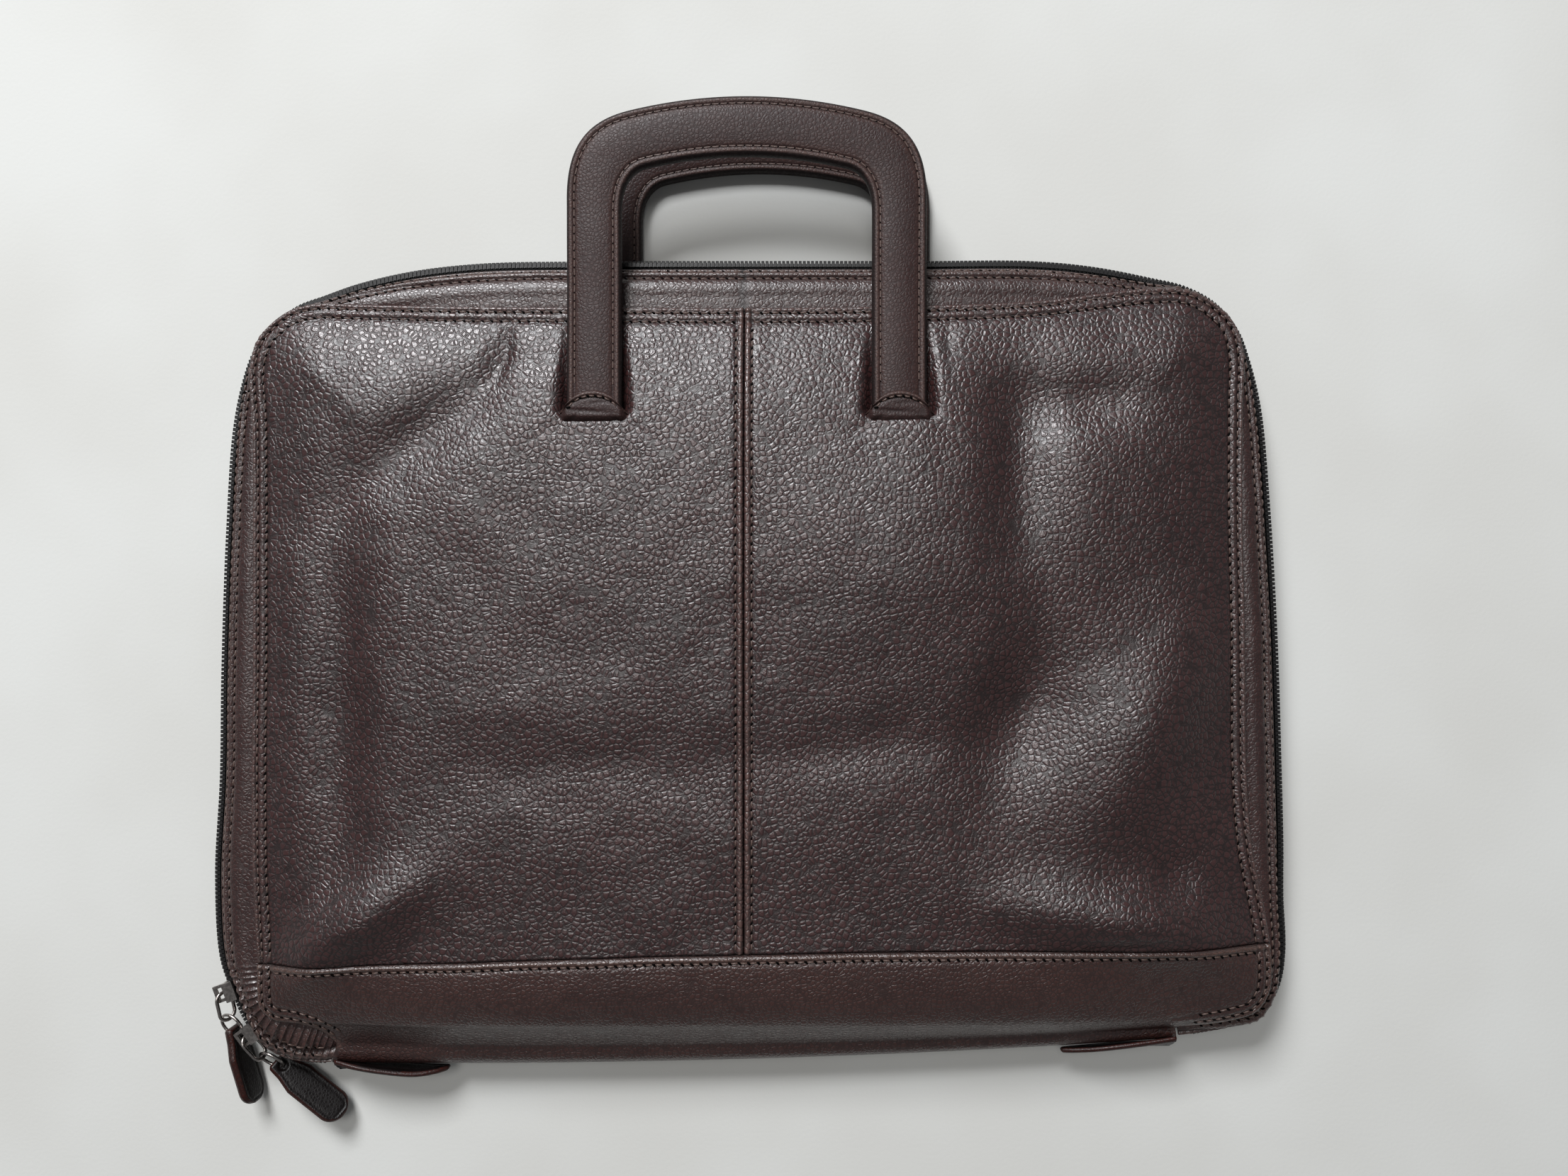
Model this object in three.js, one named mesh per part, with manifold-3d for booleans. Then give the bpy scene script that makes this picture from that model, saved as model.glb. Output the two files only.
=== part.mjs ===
// A slim zip-round document case of pebbled leather, lying on its back on a table.
// Millimetres, +Z up. X runs along the case, Y from the bottom fold to the handles.
// The origin is the middle of the body on the table, under the flat back panel.
// Every skin is a bent sheet of leather: a grid of points with a wall behind it.

import * as THREE from 'three';
import { mergeVertices } from 'three/addons/utils/BufferGeometryUtils.js';
import Module from 'manifold-3d';

const wasm = await Module();
wasm.setup();

// Body sizes
const halfWidth = 200; // from the middle to the zip at either side
const halfHeight = 150; // from the middle to the zip at the top and the fold at the bottom
const seamHeight = 24; // top of the front panel along its turned edge
const zipHeight = 13; // middle of the zip above the table
const crownHeight = 9; // rise of the front panels above their turned edge
const crownRun = 30; // distance from the turned edge over which the crown rises
const bandWidth = 40.5; // from the bottom fold up to the folded edge of the bottom band at its left end
const bandWidthRight = 48.2; // the same at its right end
const bandArch = 2.4; // how far the folded edge arches up between its ends
const bandBow = 3.2; // how far the bottom fold bows out between its ends
const bandRaise = 1.1; // how far the folded edge of the band stands above the panels
const seamX = -2.4; // the seam between the two front panels

// Walls and clearances
const panelWall = 1.8;
const gussetWall = 1.6;
const flapWall = 1.5;
const tabWall = 2.2;
const tapeWall = 0.9;
const seamGap = 0.3; // between two pieces that are sewn together
const tuck = 2.5; // how far the gusset reaches under the panel edge
const gussetStart = 0.4; // the gusset stops short of the band's ends, in outline rows

// Zip
const coilDepth = 2.4; // across the coil, from the tape outwards
const coilHeight = 5; // along the chain's face, upright in this case
const coilReveal = 3.8; // from the outer side of the coil back to the gusset's edge
const lipHalf = 4.5; // half the opening between the two gusset edges
const tapeReach = 0.4; // gap between the tape and the coil
const tapeGap = 0.5; // between the tape and the gusset strips that it is sewn to
const backEase = 0.8; // the back gusset's extra room over the raised back panel

// Handles
const handleHalf = 65; // half of the handle's outer width
const strapWidth = 19.8;
const strapThickness = 5.6;
const strapRound = 1.2; // rounding of the strap's edges
const handleTop = halfHeight + 55; // top of the front handle above the middle of the body
const handleFoot = halfHeight - 58.5; // where a leg ends under its flap
const handleShoulder = 42.2; // half of the arch's shallow crown, and how far it rises
const handleCrown = 5.1;
const handleCorner = 36.6; // height of the bend from crown to leg
const innerShoulder = 36; // the same on the inner side of the strap
const innerCrown = 4.2;
const innerCorner = 20.1;
const frontHandleX = -1.3;
const rearHandleX = 3;
const rearHandleShift = 3.4; // the rear handle lies that much further out
const frontLegTable = [
  // along: share of the way from foot to top; lift: underside above the table in shares of seamHeight
  { along: 0, lift: 1.1 },
  { along: 0.36, lift: 1.085 },
  { along: 0.6, lift: 1.11 },
  { along: 1, lift: 1.16 },
];
const rearLegRise = 2.3; // the rear legs climb over their flaps by this much
const rearLegRun = 16; // length of that climb
const backLift = 8.7; // how far the rear handle's legs raise the back panel
const backLiftStart = halfHeight - 90; // where the back panel starts to rise
const backLiftRun = 26;
const backLiftHalf = 74; // half of the raised stretch, without its slopes
const backLiftSlope = 30;

// Handle flaps: half-moons that cover the ends of the legs
const flapHalf = 12.9;
const flapRise = 9;
const flapRoot = 8; // leather below the half-moon, down to the panel
const rearFlapRoot = 11.5;
const rootGap = 1.2; // between a flap's root and the panel's facets
const flapDroop = 3; // how far the side corners hang down beside the leg
const seatSlopeX = 0.5; // the pressed-in leather beside a leg
const seatSlopeY = 0.85; // and below its end
const seatMargin = 1.6; // flat stretch around a leg

// Zip pulls
const sliderLength = 7.2;
const sliderClear = 0.55;
const sliderPlate = 1.1;
const bridgeThick = 1.4;
const bridgeReach = 5.2;
const bridgeHalf = 3.2;
const bridgeBar = 1.1;
const loopLength = 12.2;
const loopWidth = 7.2;
const loopBar = 1.4;
const loopThick = 1;
const ringRadius = 4.6; // middle of the jump ring's wire
const ringWire = 0.6; // radius of the wire
const pullWidth = 12;
const pullNeck = 8.8;
const pullThick = 3.4;
const pullHole = 2.1; // radius of the hole for the jump ring

// The outline, in hundredths: front edge and zip as shares of halfWidth and halfHeight,
// seam as a share of seamHeight and zip as a share of zipHeight. It starts at the lower
// left end of the zip and runs up the left side, over the top and down the right side.
const outlineColumns = ['frontX', 'frontY', 'zipX', 'zipY', 'seam', 'zip'];
const outlineRows = [
  [-77.2, -94.7, -78.9, -100.6, 67, 72],
  [-79.6, -90.9, -82.3, -100.4, 79, 77],
  [-83.6, -88.5, -87.0, -99.1, 88, 85],
  [-87.9, -87.2, -91.4, -95.7, 94, 92],
  [-90.2, -84.0, -95.0, -89.6, 98, 94],
  [-90.6, -79.9, -97.5, -81.7, 100, 97],
  [-90.6, -73.2, -99.5, -73.2, 100, 100],
  [-91.4, -52.3, -100.4, -53.0, 100, 100],
  [-91.6, -28.1, -99.5, -28.3, 100, 100],
  [-91.4, -0.7, -99.2, -0.7, 100, 100],
  [-91.4, 33.3, -98.3, 33.6, 100, 100],
  [-91.5, 58.5, -97.1, 59.0, 100, 96],
  [-92.0, 72.0, -95.5, 71.4, 100, 85],
  [-90.8, 78.7, -93.8, 78.5, 100, 75],
  [-88.2, 83.2, -90.6, 84.5, 100, 70],
  [-84.2, 86.9, -86.0, 89.4, 100, 74],
  [-79.0, 88.4, -80.3, 92.0, 100, 84],
  [-72.6, 88.2, -73.6, 94.8, 100, 94],
  [-62.5, 87.9, -63.2, 97.8, 100, 100],
  [-50.0, 87.6, -50.2, 99.7, 100, 100],
  [-31.0, 87.5, -31.0, 100.2, 100, 100],
  [-1.2, 87.3, -1.2, 100.3, 100, 100],
  [31.2, 87.9, 31.2, 100.3, 100, 100],
  [52.0, 89.0, 52.2, 100.3, 100, 100],
  [63.0, 90.7, 64.0, 98.9, 100, 98],
  [73.0, 92.1, 74.8, 96.4, 100, 88],
  [80.0, 91.8, 81.9, 94.4, 100, 76],
  [85.2, 88.3, 87.6, 90.4, 100, 70],
  [88.9, 83.0, 91.6, 83.7, 100, 75],
  [90.4, 75.7, 93.5, 75.7, 100, 88],
  [90.3, 63.3, 95.4, 63.2, 100, 98],
  [90.2, 41.1, 96.9, 41.1, 100, 100],
  [90.7, 6.5, 98.4, 6.6, 100, 100],
  [91.0, -28.1, 99.2, -28.0, 100, 100],
  [92.1, -45.3, 99.5, -45.0, 100, 100],
  [94.0, -58.0, 99.5, -58.0, 100, 100],
  [95.5, -72.0, 99.9, -72.0, 100, 98],
  [95.2, -80.1, 98.9, -81.0, 98, 92],
  [92.8, -85.2, 95.4, -88.9, 95, 86],
  [87.5, -87.9, 88.6, -91.6, 88, 84],
  [78.7, -90.2, 79.4, -94.0, 71, 80],
];
const outline = outlineRows.map((row) => named(outlineColumns, row));

// Folds and dents of the front, in hundredths: place and reach as shares of halfWidth
// and halfHeight, turn in degrees, height as a share of crownHeight.
const foldColumns = ['x', 'y', 'reachX', 'reachY', 'turn', 'height'];
const foldRows = [
  [24, 27, 24, 27, 0, 24], // soft mound on the right panel
  [49, 52, 6.5, 30, 0, -26], // trough above it
  [50, -9, 8, 22, -24, -27], // trough below it
  [60, -22, 7, 44, -52, 24], // long diagonal ridge
  [65, -57, 24, 7, 0, 26], // ridge above the band at the right
  [77, -54, 4.5, 5.5, 0, -18], // small dimple
  [-68, -57, 16, 6.5, 33, 36], // bright ridge above the band at the left
  [-75, -6, 6, 46, 0, -24], // long hollow beside the left edge
  [-63, 63, 22, 7.5, 38, -27], // diagonal hollow below the upper left corner
  [-45.5, 76, 2.4, 9, -18, -26], // sharp crease beside the left handle
  [63, 74, 11, 7, 0, -22], // dent below the upper right edge
  [-30, -25, 26, 9, 0, -10], // faint hollow left of the middle seam
];
const folds = foldRows.map((row) => named(foldColumns, row));

// Grid lines of the skins, in hundredths of the way across, closer beside the handle legs
const leftColumns = [0, 3, 8, 15, 24, 33, 42, 49, 54, 58, 62.5, 66, 70, 74, 77.5, 82, 89, 95, 100];
const rightColumns = [0, 5, 12, 19, 24, 28, 31, 35, 39, 42.5, 47, 53, 61, 69, 77, 85, 92, 97, 100];
const panelLines = [0, 5, 12, 20, 29, 38, 47, 56, 65, 73, 78, 81.2, 83.2, 87, 91, 95, 98, 100];
const backLines = [0, 15, 32, 50, 64, 70, 74, 77, 80, 83, 88, 100];
const backColumns = [
  0, 4, 10, 16, 21.7, 23.9, 26.1, 28.2, 30.4, 40, 52, 63, 73, 75.2, 77.4, 79.5, 81.7, 88, 94, 97, 100];
const bandColumns = [0, 2, 5, 9, 14, 20, 26, 33, 40, 48, 56, 63, 70, 77, 84, 90, 94, 97, 100];
const bandLines = [0, 12, 24, 33, 42, 46, 50, 54, 58, 67, 80, 100];
const stripShares = [0, 34, 62, 82, 100];
// Extra sections between two rows of the outline: the row before them and how many
const extraStations = new Map([
  [6, 1], [7, 1], [8, 1], [9, 1], [10, 1], [11, 1], [19, 4], [20, 2], [21, 2], [22, 4], [30, 1], [31, 1], [32, 1], [33, 1]]);

function named(columns, row) {
  return Object.fromEntries(columns.map((name, index) => [name, name === 'turn' ? row[index] : row[index] / 100]));
}

const vec = (x, y, z) => new THREE.Vector3(x, y, z);
const mix = (a, b, share) => a + (b - a) * share;
const clamp01 = (value) => Math.min(1, Math.max(0, value));
const smooth = (value) => clamp01(value) ** 2 * (3 - 2 * clamp01(value));

// Outline curves. A row number picks matching points on both.
const lastRow = outline.length - 1;
const seamCurve = new THREE.CatmullRomCurve3(
  outline.map((row) => vec(row.frontX * halfWidth, row.frontY * halfHeight, row.seam * seamHeight)));
const zipCurve = new THREE.CatmullRomCurve3(
  outline.map((row) => vec(row.zipX * halfWidth, row.zipY * halfHeight, row.zip * zipHeight)));
const seamAt = (row) => seamCurve.getPoint(row / lastRow);
const zipAt = (row) => zipCurve.getPoint(row / lastRow);
const seamSamples = seamCurve.getPoints(lastRow * 6);

// The row between two rows where the front edge has a wanted x or y.
function rowWhere(axis, wanted, low, high) {
  const rising = seamAt(high)[axis] > seamAt(low)[axis];
  for (let step = 0; step < 40; step += 1) {
    const middle = (low + high) / 2;
    if ((seamAt(middle)[axis] < wanted) === rising) low = middle;
    else high = middle;
  }
  return (low + high) / 2;
}

const cornerRowLeft = 14;
const seamRowTop = 21;
const cornerRowRight = 27;
const lowRowsLeft = [5, 8]; // the band's folded edge meets the outline between these rows
const lowRowsRight = [35, 38];
const bandEndLeft = bandCorner(true, 0);
const bandEndRight = bandCorner(false, 0);

// The row where the folded edge of the band, shifted by some millimetres, ends at one side.
function bandCorner(isLeft, shift) {
  const wanted = (isLeft ? bandWidth : bandWidthRight) - halfHeight + shift;
  return rowWhere('y', wanted, ...(isLeft ? lowRowsLeft : lowRowsRight));
}

// How far the folded edge arches up above the straight line between its ends.
function bandArchAt(x) {
  const from = seamAt(bandEndLeft).x;
  const share = clamp01((x - from) / (seamAt(bandEndRight).x - from));
  return bandArch * 4 * share * (1 - share);
}

function seamDistance(x, y) {
  let nearest = Infinity;
  for (let i = 1; i < seamSamples.length; i += 1) {
    const a = seamSamples[i - 1];
    const b = seamSamples[i];
    const dx = b.x - a.x;
    const dy = b.y - a.y;
    const share = clamp01(((x - a.x) * dx + (y - a.y) * dy) / (dx * dx + dy * dy));
    nearest = Math.min(nearest, Math.hypot(x - a.x - share * dx, y - a.y - share * dy));
  }
  return nearest;
}

// Rise of the front above its turned edge: a crown with the folds laid over it.
function frontRelief(x, y) {
  const edge = 1 - Math.exp(-((seamDistance(x, y) / crownRun) ** 1.5));
  let rise = crownHeight * edge;
  for (const fold of folds) {
    const turn = THREE.MathUtils.degToRad(fold.turn);
    const dx = x - fold.x * halfWidth;
    const dy = y - fold.y * halfHeight;
    const along = (dx * Math.cos(turn) + dy * Math.sin(turn)) / (fold.reachX * halfWidth);
    const across = (dy * Math.cos(turn) - dx * Math.sin(turn)) / (fold.reachY * halfHeight);
    rise += fold.height * crownHeight * edge * Math.exp(-along * along - across * across);
  }
  return rise;
}

// Handle legs and the leather they press in
const legOffset = handleHalf - strapWidth / 2;
const frontLegs = [frontHandleX - legOffset, frontHandleX + legOffset];
const rearLegs = [rearHandleX - legOffset, rearHandleX + legOffset];

function frontLegLift(y) {
  const along = clamp01((y - handleFoot) / (handleTop - handleFoot));
  let next = 1;
  while (next < frontLegTable.length - 1 && frontLegTable[next].along < along) next += 1;
  const low = frontLegTable[next - 1];
  const high = frontLegTable[next];
  return seamHeight * mix(low.lift, high.lift, smooth((along - low.along) / (high.along - low.along)));
}

function seatCeiling(x, y) {
  let ceiling = Infinity;
  for (const legX of frontLegs) {
    const beside = Math.max(0, Math.abs(x - legX) - strapWidth / 2 - seatMargin);
    const below = Math.max(0, handleFoot - seatMargin - y);
    const under = frontLegLift(Math.max(y, handleFoot)) - seamGap - 0.2;
    ceiling = Math.min(ceiling, under + beside * seatSlopeX + below * seatSlopeY);
  }
  return ceiling;
}

const frontHeight = (base, x, y) => Math.min(base + frontRelief(x, y), seatCeiling(x, y));

function backHeight(x, y) {
  const along = smooth((y - backLiftStart) / backLiftRun);
  const across = 1 - smooth((Math.abs(x - rearHandleX) - backLiftHalf) / backLiftSlope);
  return backLift * along * across;
}

// Solids from grids
function gridNormals(grid) {
  const rows = grid.length;
  const columns = grid[0].length;
  return grid.map((line, i) => line.map((point, j) => {
    const along = grid[Math.min(i + 1, rows - 1)][j].clone().sub(grid[Math.max(i - 1, 0)][j]);
    const across = line[Math.min(j + 1, columns - 1)].clone().sub(line[Math.max(j - 1, 0)]);
    return along.cross(across).normalize();
  }));
}

function offsetGrid(grid, distance) {
  const normals = gridNormals(grid);
  return grid.map((line, i) => line.map((point, j) => point.clone().addScaledVector(normals[i][j], distance)));
}

function solidBetween(outer, inner) {
  const rows = outer.length;
  const columns = outer[0].length;
  const points = [...outer.flat(), ...inner.flat()];
  const shift = rows * columns;
  const at = (i, j) => i * columns + j;
  const faces = [];
  const quad = (a, b, c, d) => faces.push(a, b, c, a, c, d);
  for (let i = 0; i + 1 < rows; i += 1) {
    for (let j = 0; j + 1 < columns; j += 1) {
      quad(at(i, j), at(i + 1, j), at(i + 1, j + 1), at(i, j + 1));
      quad(shift + at(i, j), shift + at(i, j + 1), shift + at(i + 1, j + 1), shift + at(i + 1, j));
    }
    quad(at(i, 0), shift + at(i, 0), shift + at(i + 1, 0), at(i + 1, 0));
    quad(at(i, columns - 1), at(i + 1, columns - 1), shift + at(i + 1, columns - 1), shift + at(i, columns - 1));
  }
  for (let j = 0; j + 1 < columns; j += 1) {
    quad(at(0, j), at(0, j + 1), shift + at(0, j + 1), shift + at(0, j));
    quad(at(rows - 1, j), shift + at(rows - 1, j), shift + at(rows - 1, j + 1), at(rows - 1, j + 1));
  }
  const geometry = new THREE.BufferGeometry();
  geometry.setAttribute('position', new THREE.Float32BufferAttribute(points.flatMap((p) => [p.x, p.y, p.z]), 3));
  geometry.setIndex(faces);
  return facingOut(geometry);
}

function facingOut(geometry) {
  const position = geometry.getAttribute('position');
  const index = geometry.getIndex();
  const a = vec(0, 0, 0);
  const b = vec(0, 0, 0);
  const c = vec(0, 0, 0);
  let volume = 0;
  for (let i = 0; i < index.count; i += 3) {
    a.fromBufferAttribute(position, index.getX(i));
    b.fromBufferAttribute(position, index.getX(i + 1));
    c.fromBufferAttribute(position, index.getX(i + 2));
    volume += a.dot(b.cross(c));
  }
  if (volume < 0) {
    for (let i = 0; i < index.count; i += 3) {
      const second = index.getX(i + 1);
      index.setX(i + 1, index.getX(i + 2));
      index.setX(i + 2, second);
    }
  }
  return geometry;
}

const sheet = (grid, wall) => solidBetween(grid, offsetGrid(grid, -wall));

// A sheet whose wall goes straight down, or straight up with a negative wall.
const flatSheet = (grid, wall) => solidBetween(grid, grid.map((line) => line.map((p) => vec(p.x, p.y, p.z - wall))));

function toManifold(geometry) {
  const bare = geometry.clone();
  bare.deleteAttribute('normal');
  bare.deleteAttribute('uv');
  const merged = mergeVertices(bare, 1e-4);
  return new wasm.Manifold(new wasm.Mesh({
    numProp: 3,
    vertProperties: new Float32Array(merged.getAttribute('position').array),
    triVerts: new Uint32Array(merged.getIndex().array),
  }));
}

function fromManifold(solid) {
  const mesh = solid.getMesh();
  const geometry = new THREE.BufferGeometry();
  geometry.setAttribute('position', new THREE.BufferAttribute(new Float32Array(mesh.vertProperties), 3));
  geometry.setIndex(new THREE.BufferAttribute(new Uint32Array(mesh.triVerts), 1));
  return geometry;
}

// A patch between four edges, each a function of a share from 0 to 1.
function patch(bottom, top, left, right, across, along) {
  return along.map((line) => across.map((column) => {
    const u = column / 100;
    const v = line / 100;
    const point = bottom(u).multiplyScalar(1 - v).addScaledVector(top(u), v);
    point.addScaledVector(left(v), 1 - u).addScaledVector(right(v), u);
    point.addScaledVector(bottom(0), -(1 - u) * (1 - v)).addScaledVector(bottom(1), -u * (1 - v));
    return point.addScaledVector(top(0), -(1 - u) * v).addScaledVector(top(1), -u * v);
  }));
}

const line3 = (from, to) => (share) => from.clone().lerp(to, share);

// An edge along the outline between two rows, spread evenly in x or in y.
function outlineEdge(fromRow, toRow, axis, flat) {
  const from = seamAt(fromRow)[axis];
  const to = seamAt(toRow)[axis];
  const low = Math.min(fromRow, toRow);
  const high = Math.max(fromRow, toRow);
  return (share) => {
    const point = share <= 0 ? seamAt(fromRow)
      : share >= 1 ? seamAt(toRow) : seamAt(rowWhere(axis, mix(from, to, share), low, high));
    return flat ? point.setZ(0) : point;
  };
}

// The folded edge of the band in plan, and a panel's low edge that follows it.
function foldedEdgeY(x) {
  const from = seamAt(bandEndLeft);
  const to = seamAt(bandEndRight);
  return mix(from.y, to.y, clamp01((x - from.x) / (to.x - from.x))) + bandArchAt(x);
}

function arched(from, to) {
  return (share) => {
    const point = from.clone().lerp(to, share);
    point.y += bandArchAt(point.x) - mix(bandArchAt(from.x), bandArchAt(to.x), share);
    return point;
  };
}

function frontPanel(isLeft) {
  const side = isLeft ? -1 : 1;
  const innerX = seamX + side * seamGap / 2;
  const topRow = rowWhere('x', innerX, seamRowTop - 1, seamRowTop + 1);
  const sideRow = bandCorner(isLeft, seamGap / 2);
  const cornerRow = isLeft ? cornerRowLeft : cornerRowRight;
  const sideLow = seamAt(sideRow);
  const middleLow = vec(innerX, foldedEdgeY(innerX) + seamGap / 2, seamHeight);
  const middle = line3(middleLow, seamAt(topRow));
  const outer = outlineEdge(sideRow, cornerRow, 'y');
  const grid = isLeft
    ? patch(arched(sideLow, middleLow), outlineEdge(cornerRow, topRow, 'x'), outer, middle, leftColumns, panelLines)
    : patch(arched(middleLow, sideLow), outlineEdge(topRow, cornerRow, 'x'), middle, outer, rightColumns, panelLines);
  grid.flat().forEach((point) => point.setZ(frontHeight(point.z, point.x, point.y)));
  return flatSheet(grid, panelWall);
}

function bandEdge(fromRow, endRow) {
  const front = seamAt(endRow);
  const back = seamAt(endRow).setZ(0);
  const fold = zipAt(endRow);
  const centre = front.clone().add(back).multiplyScalar(0.5);
  const upright = front.clone().sub(centre);
  const outwards = fold.clone().sub(centre);
  const foldStart = 0.42;
  return (share) => {
    if (share <= foldStart) return seamAt(mix(fromRow, endRow, share / foldStart));
    if (share >= 1 - foldStart) return seamAt(mix(endRow, fromRow, (share - 1 + foldStart) / foldStart)).setZ(0);
    const angle = Math.PI * (share - foldStart) / (1 - 2 * foldStart);
    return centre.clone().addScaledVector(upright, Math.cos(angle)).addScaledVector(outwards, Math.sin(angle));
  };
}

function bandPoint(leftEdge, rightEdge, u, s) {
  const point = leftEdge(s).lerp(rightEdge(s), u);
  point.y -= bandBow * Math.sin(Math.PI * s) * 4 * u * (1 - u);
  const weight = Math.cos(Math.PI / 2 * Math.min(1, 2 * s)) ** 2;
  point.y += bandArchAt(point.x) * weight;
  const ends = smooth(seamDistance(point.x, point.y) / 6);
  if (s < 0.5) {
    const top = seatCeiling(point.x, point.y);
    point.z = Math.min(point.z + frontRelief(point.x, point.y) * weight, top) + bandRaise * weight * ends;
  }
  return point;
}

const bandLeft = bandEdge(bandCorner(true, -seamGap / 2), 0);
const bandRight = bandEdge(bandCorner(false, -seamGap / 2), lastRow);

function bottomBand() {
  const grid = bandLines.map((line) => bandColumns.map((u) => bandPoint(bandLeft, bandRight, u / 100, line / 100)));
  const inner = offsetGrid(grid, -panelWall);
  inner[0] = grid[0].map((point) => vec(point.x, point.y, point.z - panelWall));
  inner[inner.length - 1] = grid[grid.length - 1].map((point) => vec(point.x, point.y, point.z + panelWall));
  return solidBetween(grid, inner);
}

function backPanel() {
  const left = outlineEdge(bandCorner(true, seamGap / 2), cornerRowLeft, 'y', true);
  const right = outlineEdge(bandCorner(false, seamGap / 2), cornerRowRight, 'y', true);
  const top = outlineEdge(cornerRowLeft, cornerRowRight, 'x', true);
  const grid = patch(line3(left(0), right(0)), top, left, right, backColumns, backLines);
  grid.flat().forEach((point) => point.setZ(backHeight(point.x, point.y)));
  return flatSheet(grid, -panelWall);
}

// Gusset and zip: sections that stand on the outline, square to the zip.
function stationFrame(row) {
  const seam = seamAt(row);
  const zip = zipAt(row);
  const out = vec(zip.x - seam.x, zip.y - seam.y, 0);
  const width = out.length();
  out.normalize();
  return { seam, out, width, zipZ: zip.z, place: (r, h) => vec(seam.x, seam.y, h).addScaledVector(out, r) };
}

const stationRows = [gussetStart];
for (let row = 1; row < lastRow; row += 1) {
  const extra = extraStations.get(row) ?? 0;
  for (let step = 0; step <= extra; step += 1) stationRows.push(row + step / (extra + 1));
}
stationRows.push(lastRow - gussetStart);
const stations = stationRows.map(stationFrame);

function bentStrip(station, startZ, endZ) {
  const start = vec(-tuck, startZ, 0);
  const end = vec(station.width - coilReveal, endZ, 0);
  const bend = vec(mix(start.x, end.x, 0.75), mix(startZ, endZ, 0.06), 0);
  const curve = new THREE.QuadraticBezierCurve3(start, bend, end);
  return stripShares.map((share) => curve.getPoint(share / 100)).map((point) => station.place(point.x, point.y));
}

const frontStripGrid = stations.map((station) => (
  bentStrip(station, station.seam.z - panelWall - seamGap, station.zipZ + lipHalf)));
const backStripGrid = stations.map((station) => {
  const under = backHeight(station.seam.x, station.seam.y);
  const ease = under > seamGap ? backEase : 0;
  return bentStrip(station, under + panelWall + seamGap + ease, station.zipZ - lipHalf);
});

function zipTape() {
  const behindFront = offsetGrid(frontStripGrid, -gussetWall - tapeGap);
  const behindBack = offsetGrid(backStripGrid, gussetWall + tapeGap);
  const last = stripShares.length - 1;
  const grid = stations.map((station, i) => {
    const face = station.width - coilDepth - tapeReach;
    const half = lipHalf * 0.36;
    return [
      behindFront[i][last - 1],
      behindFront[i][last],
      station.place(face, station.zipZ + half),
      station.place(face, station.zipZ - half),
      behindBack[i][last],
    ];
  });
  return sheet(grid, tapeWall);
}

function zipCoil() {
  const half = coilHeight / 2;
  const outer = stations.map((s) => [s.place(s.width, s.zipZ + half), s.place(s.width, s.zipZ - half)]);
  const inner = stations.map((s) => [
    s.place(s.width - coilDepth, s.zipZ + half), s.place(s.width - coilDepth, s.zipZ - half)]);
  return solidBetween(outer, inner);
}

// Handles: a flat arched strap cut out as a U and bent to its own height.
function handleShape() {
  const innerHalf = handleHalf - strapWidth;
  const arch = (half, top, rise, shoulder, corner, pull) => ({ half, top, rise, shoulder, corner, pull });
  const outer = arch(handleHalf, handleTop, handleCrown, handleShoulder, handleCorner, 0.6);
  const inner = arch(innerHalf, handleTop - strapWidth - 1.3, innerCrown, innerShoulder, innerCorner, 0.55);
  const shape = new THREE.Shape();
  shape.moveTo(-outer.half, handleFoot);
  shape.lineTo(-outer.half, outer.top - outer.corner);
  archTo(shape, outer, -1);
  archTo(shape, outer, 1);
  shape.lineTo(outer.half, handleFoot);
  shape.lineTo(inner.half, handleFoot);
  shape.lineTo(inner.half, inner.top - inner.corner);
  archTo(shape, inner, 1, true);
  archTo(shape, inner, -1, true);
  shape.lineTo(-inner.half, handleFoot);
  shape.closePath();
  return shape;
}

// Half of an arch: a corner and a shallow crown, on the left or right, up or down.
function archTo(shape, arch, side, inwards) {
  const low = { x: side * arch.half, y: arch.top - arch.corner };
  const shoulder = { x: side * arch.shoulder, y: arch.top - arch.rise };
  const slope = 2 * arch.rise / arch.shoulder;
  const reach = (arch.half - arch.shoulder) * arch.pull;
  const upper = { x: shoulder.x + side * reach, y: shoulder.y - reach * slope };
  const lower = { x: low.x, y: mix(low.y, shoulder.y, 0.65) };
  const crown = { x: side * arch.shoulder / 2, y: arch.top };
  const rising = inwards ? side > 0 : side < 0;
  if (rising) {
    shape.bezierCurveTo(lower.x, lower.y, upper.x, upper.y, shoulder.x, shoulder.y);
    shape.quadraticCurveTo(crown.x, crown.y, 0, arch.top);
  } else {
    shape.quadraticCurveTo(crown.x, crown.y, shoulder.x, shoulder.y);
    shape.bezierCurveTo(upper.x, upper.y, lower.x, lower.y, low.x, low.y);
  }
}

function splitLegs(shape) {
  const points = shape.getPoints(7);
  const legSteps = 5;
  const split = [];
  points.forEach((point, index) => {
    const next = points[(index + 1) % points.length];
    split.push(point);
    const isLeg = Math.abs(point.x - next.x) < 1e-6 && Math.abs(point.y - next.y) > 20;
    for (let step = 1; isLeg && step < legSteps; step += 1) split.push(point.clone().lerp(next, step / legSteps));
  });
  return new THREE.Shape(split);
}

function handle(centreX, shiftY, lift) {
  const geometry = new THREE.ExtrudeGeometry(splitLegs(handleShape()), {
    depth: strapThickness - 2 * strapRound,
    bevelThickness: strapRound,
    bevelSize: strapRound,
    bevelOffset: -strapRound,
    bevelSegments: 1,
  });
  geometry.translate(centreX, shiftY, strapRound);
  const position = geometry.getAttribute('position');
  for (let i = 0; i < position.count; i += 1) {
    position.setZ(i, position.getZ(i) + lift(position.getY(i)));
  }
  return geometry;
}

const rearFoot = handleFoot + rearHandleShift;
const rearLegLift = (y) => rearLegRise * (1 - smooth((y - rearFoot - flapRise) / rearLegRun));

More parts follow.
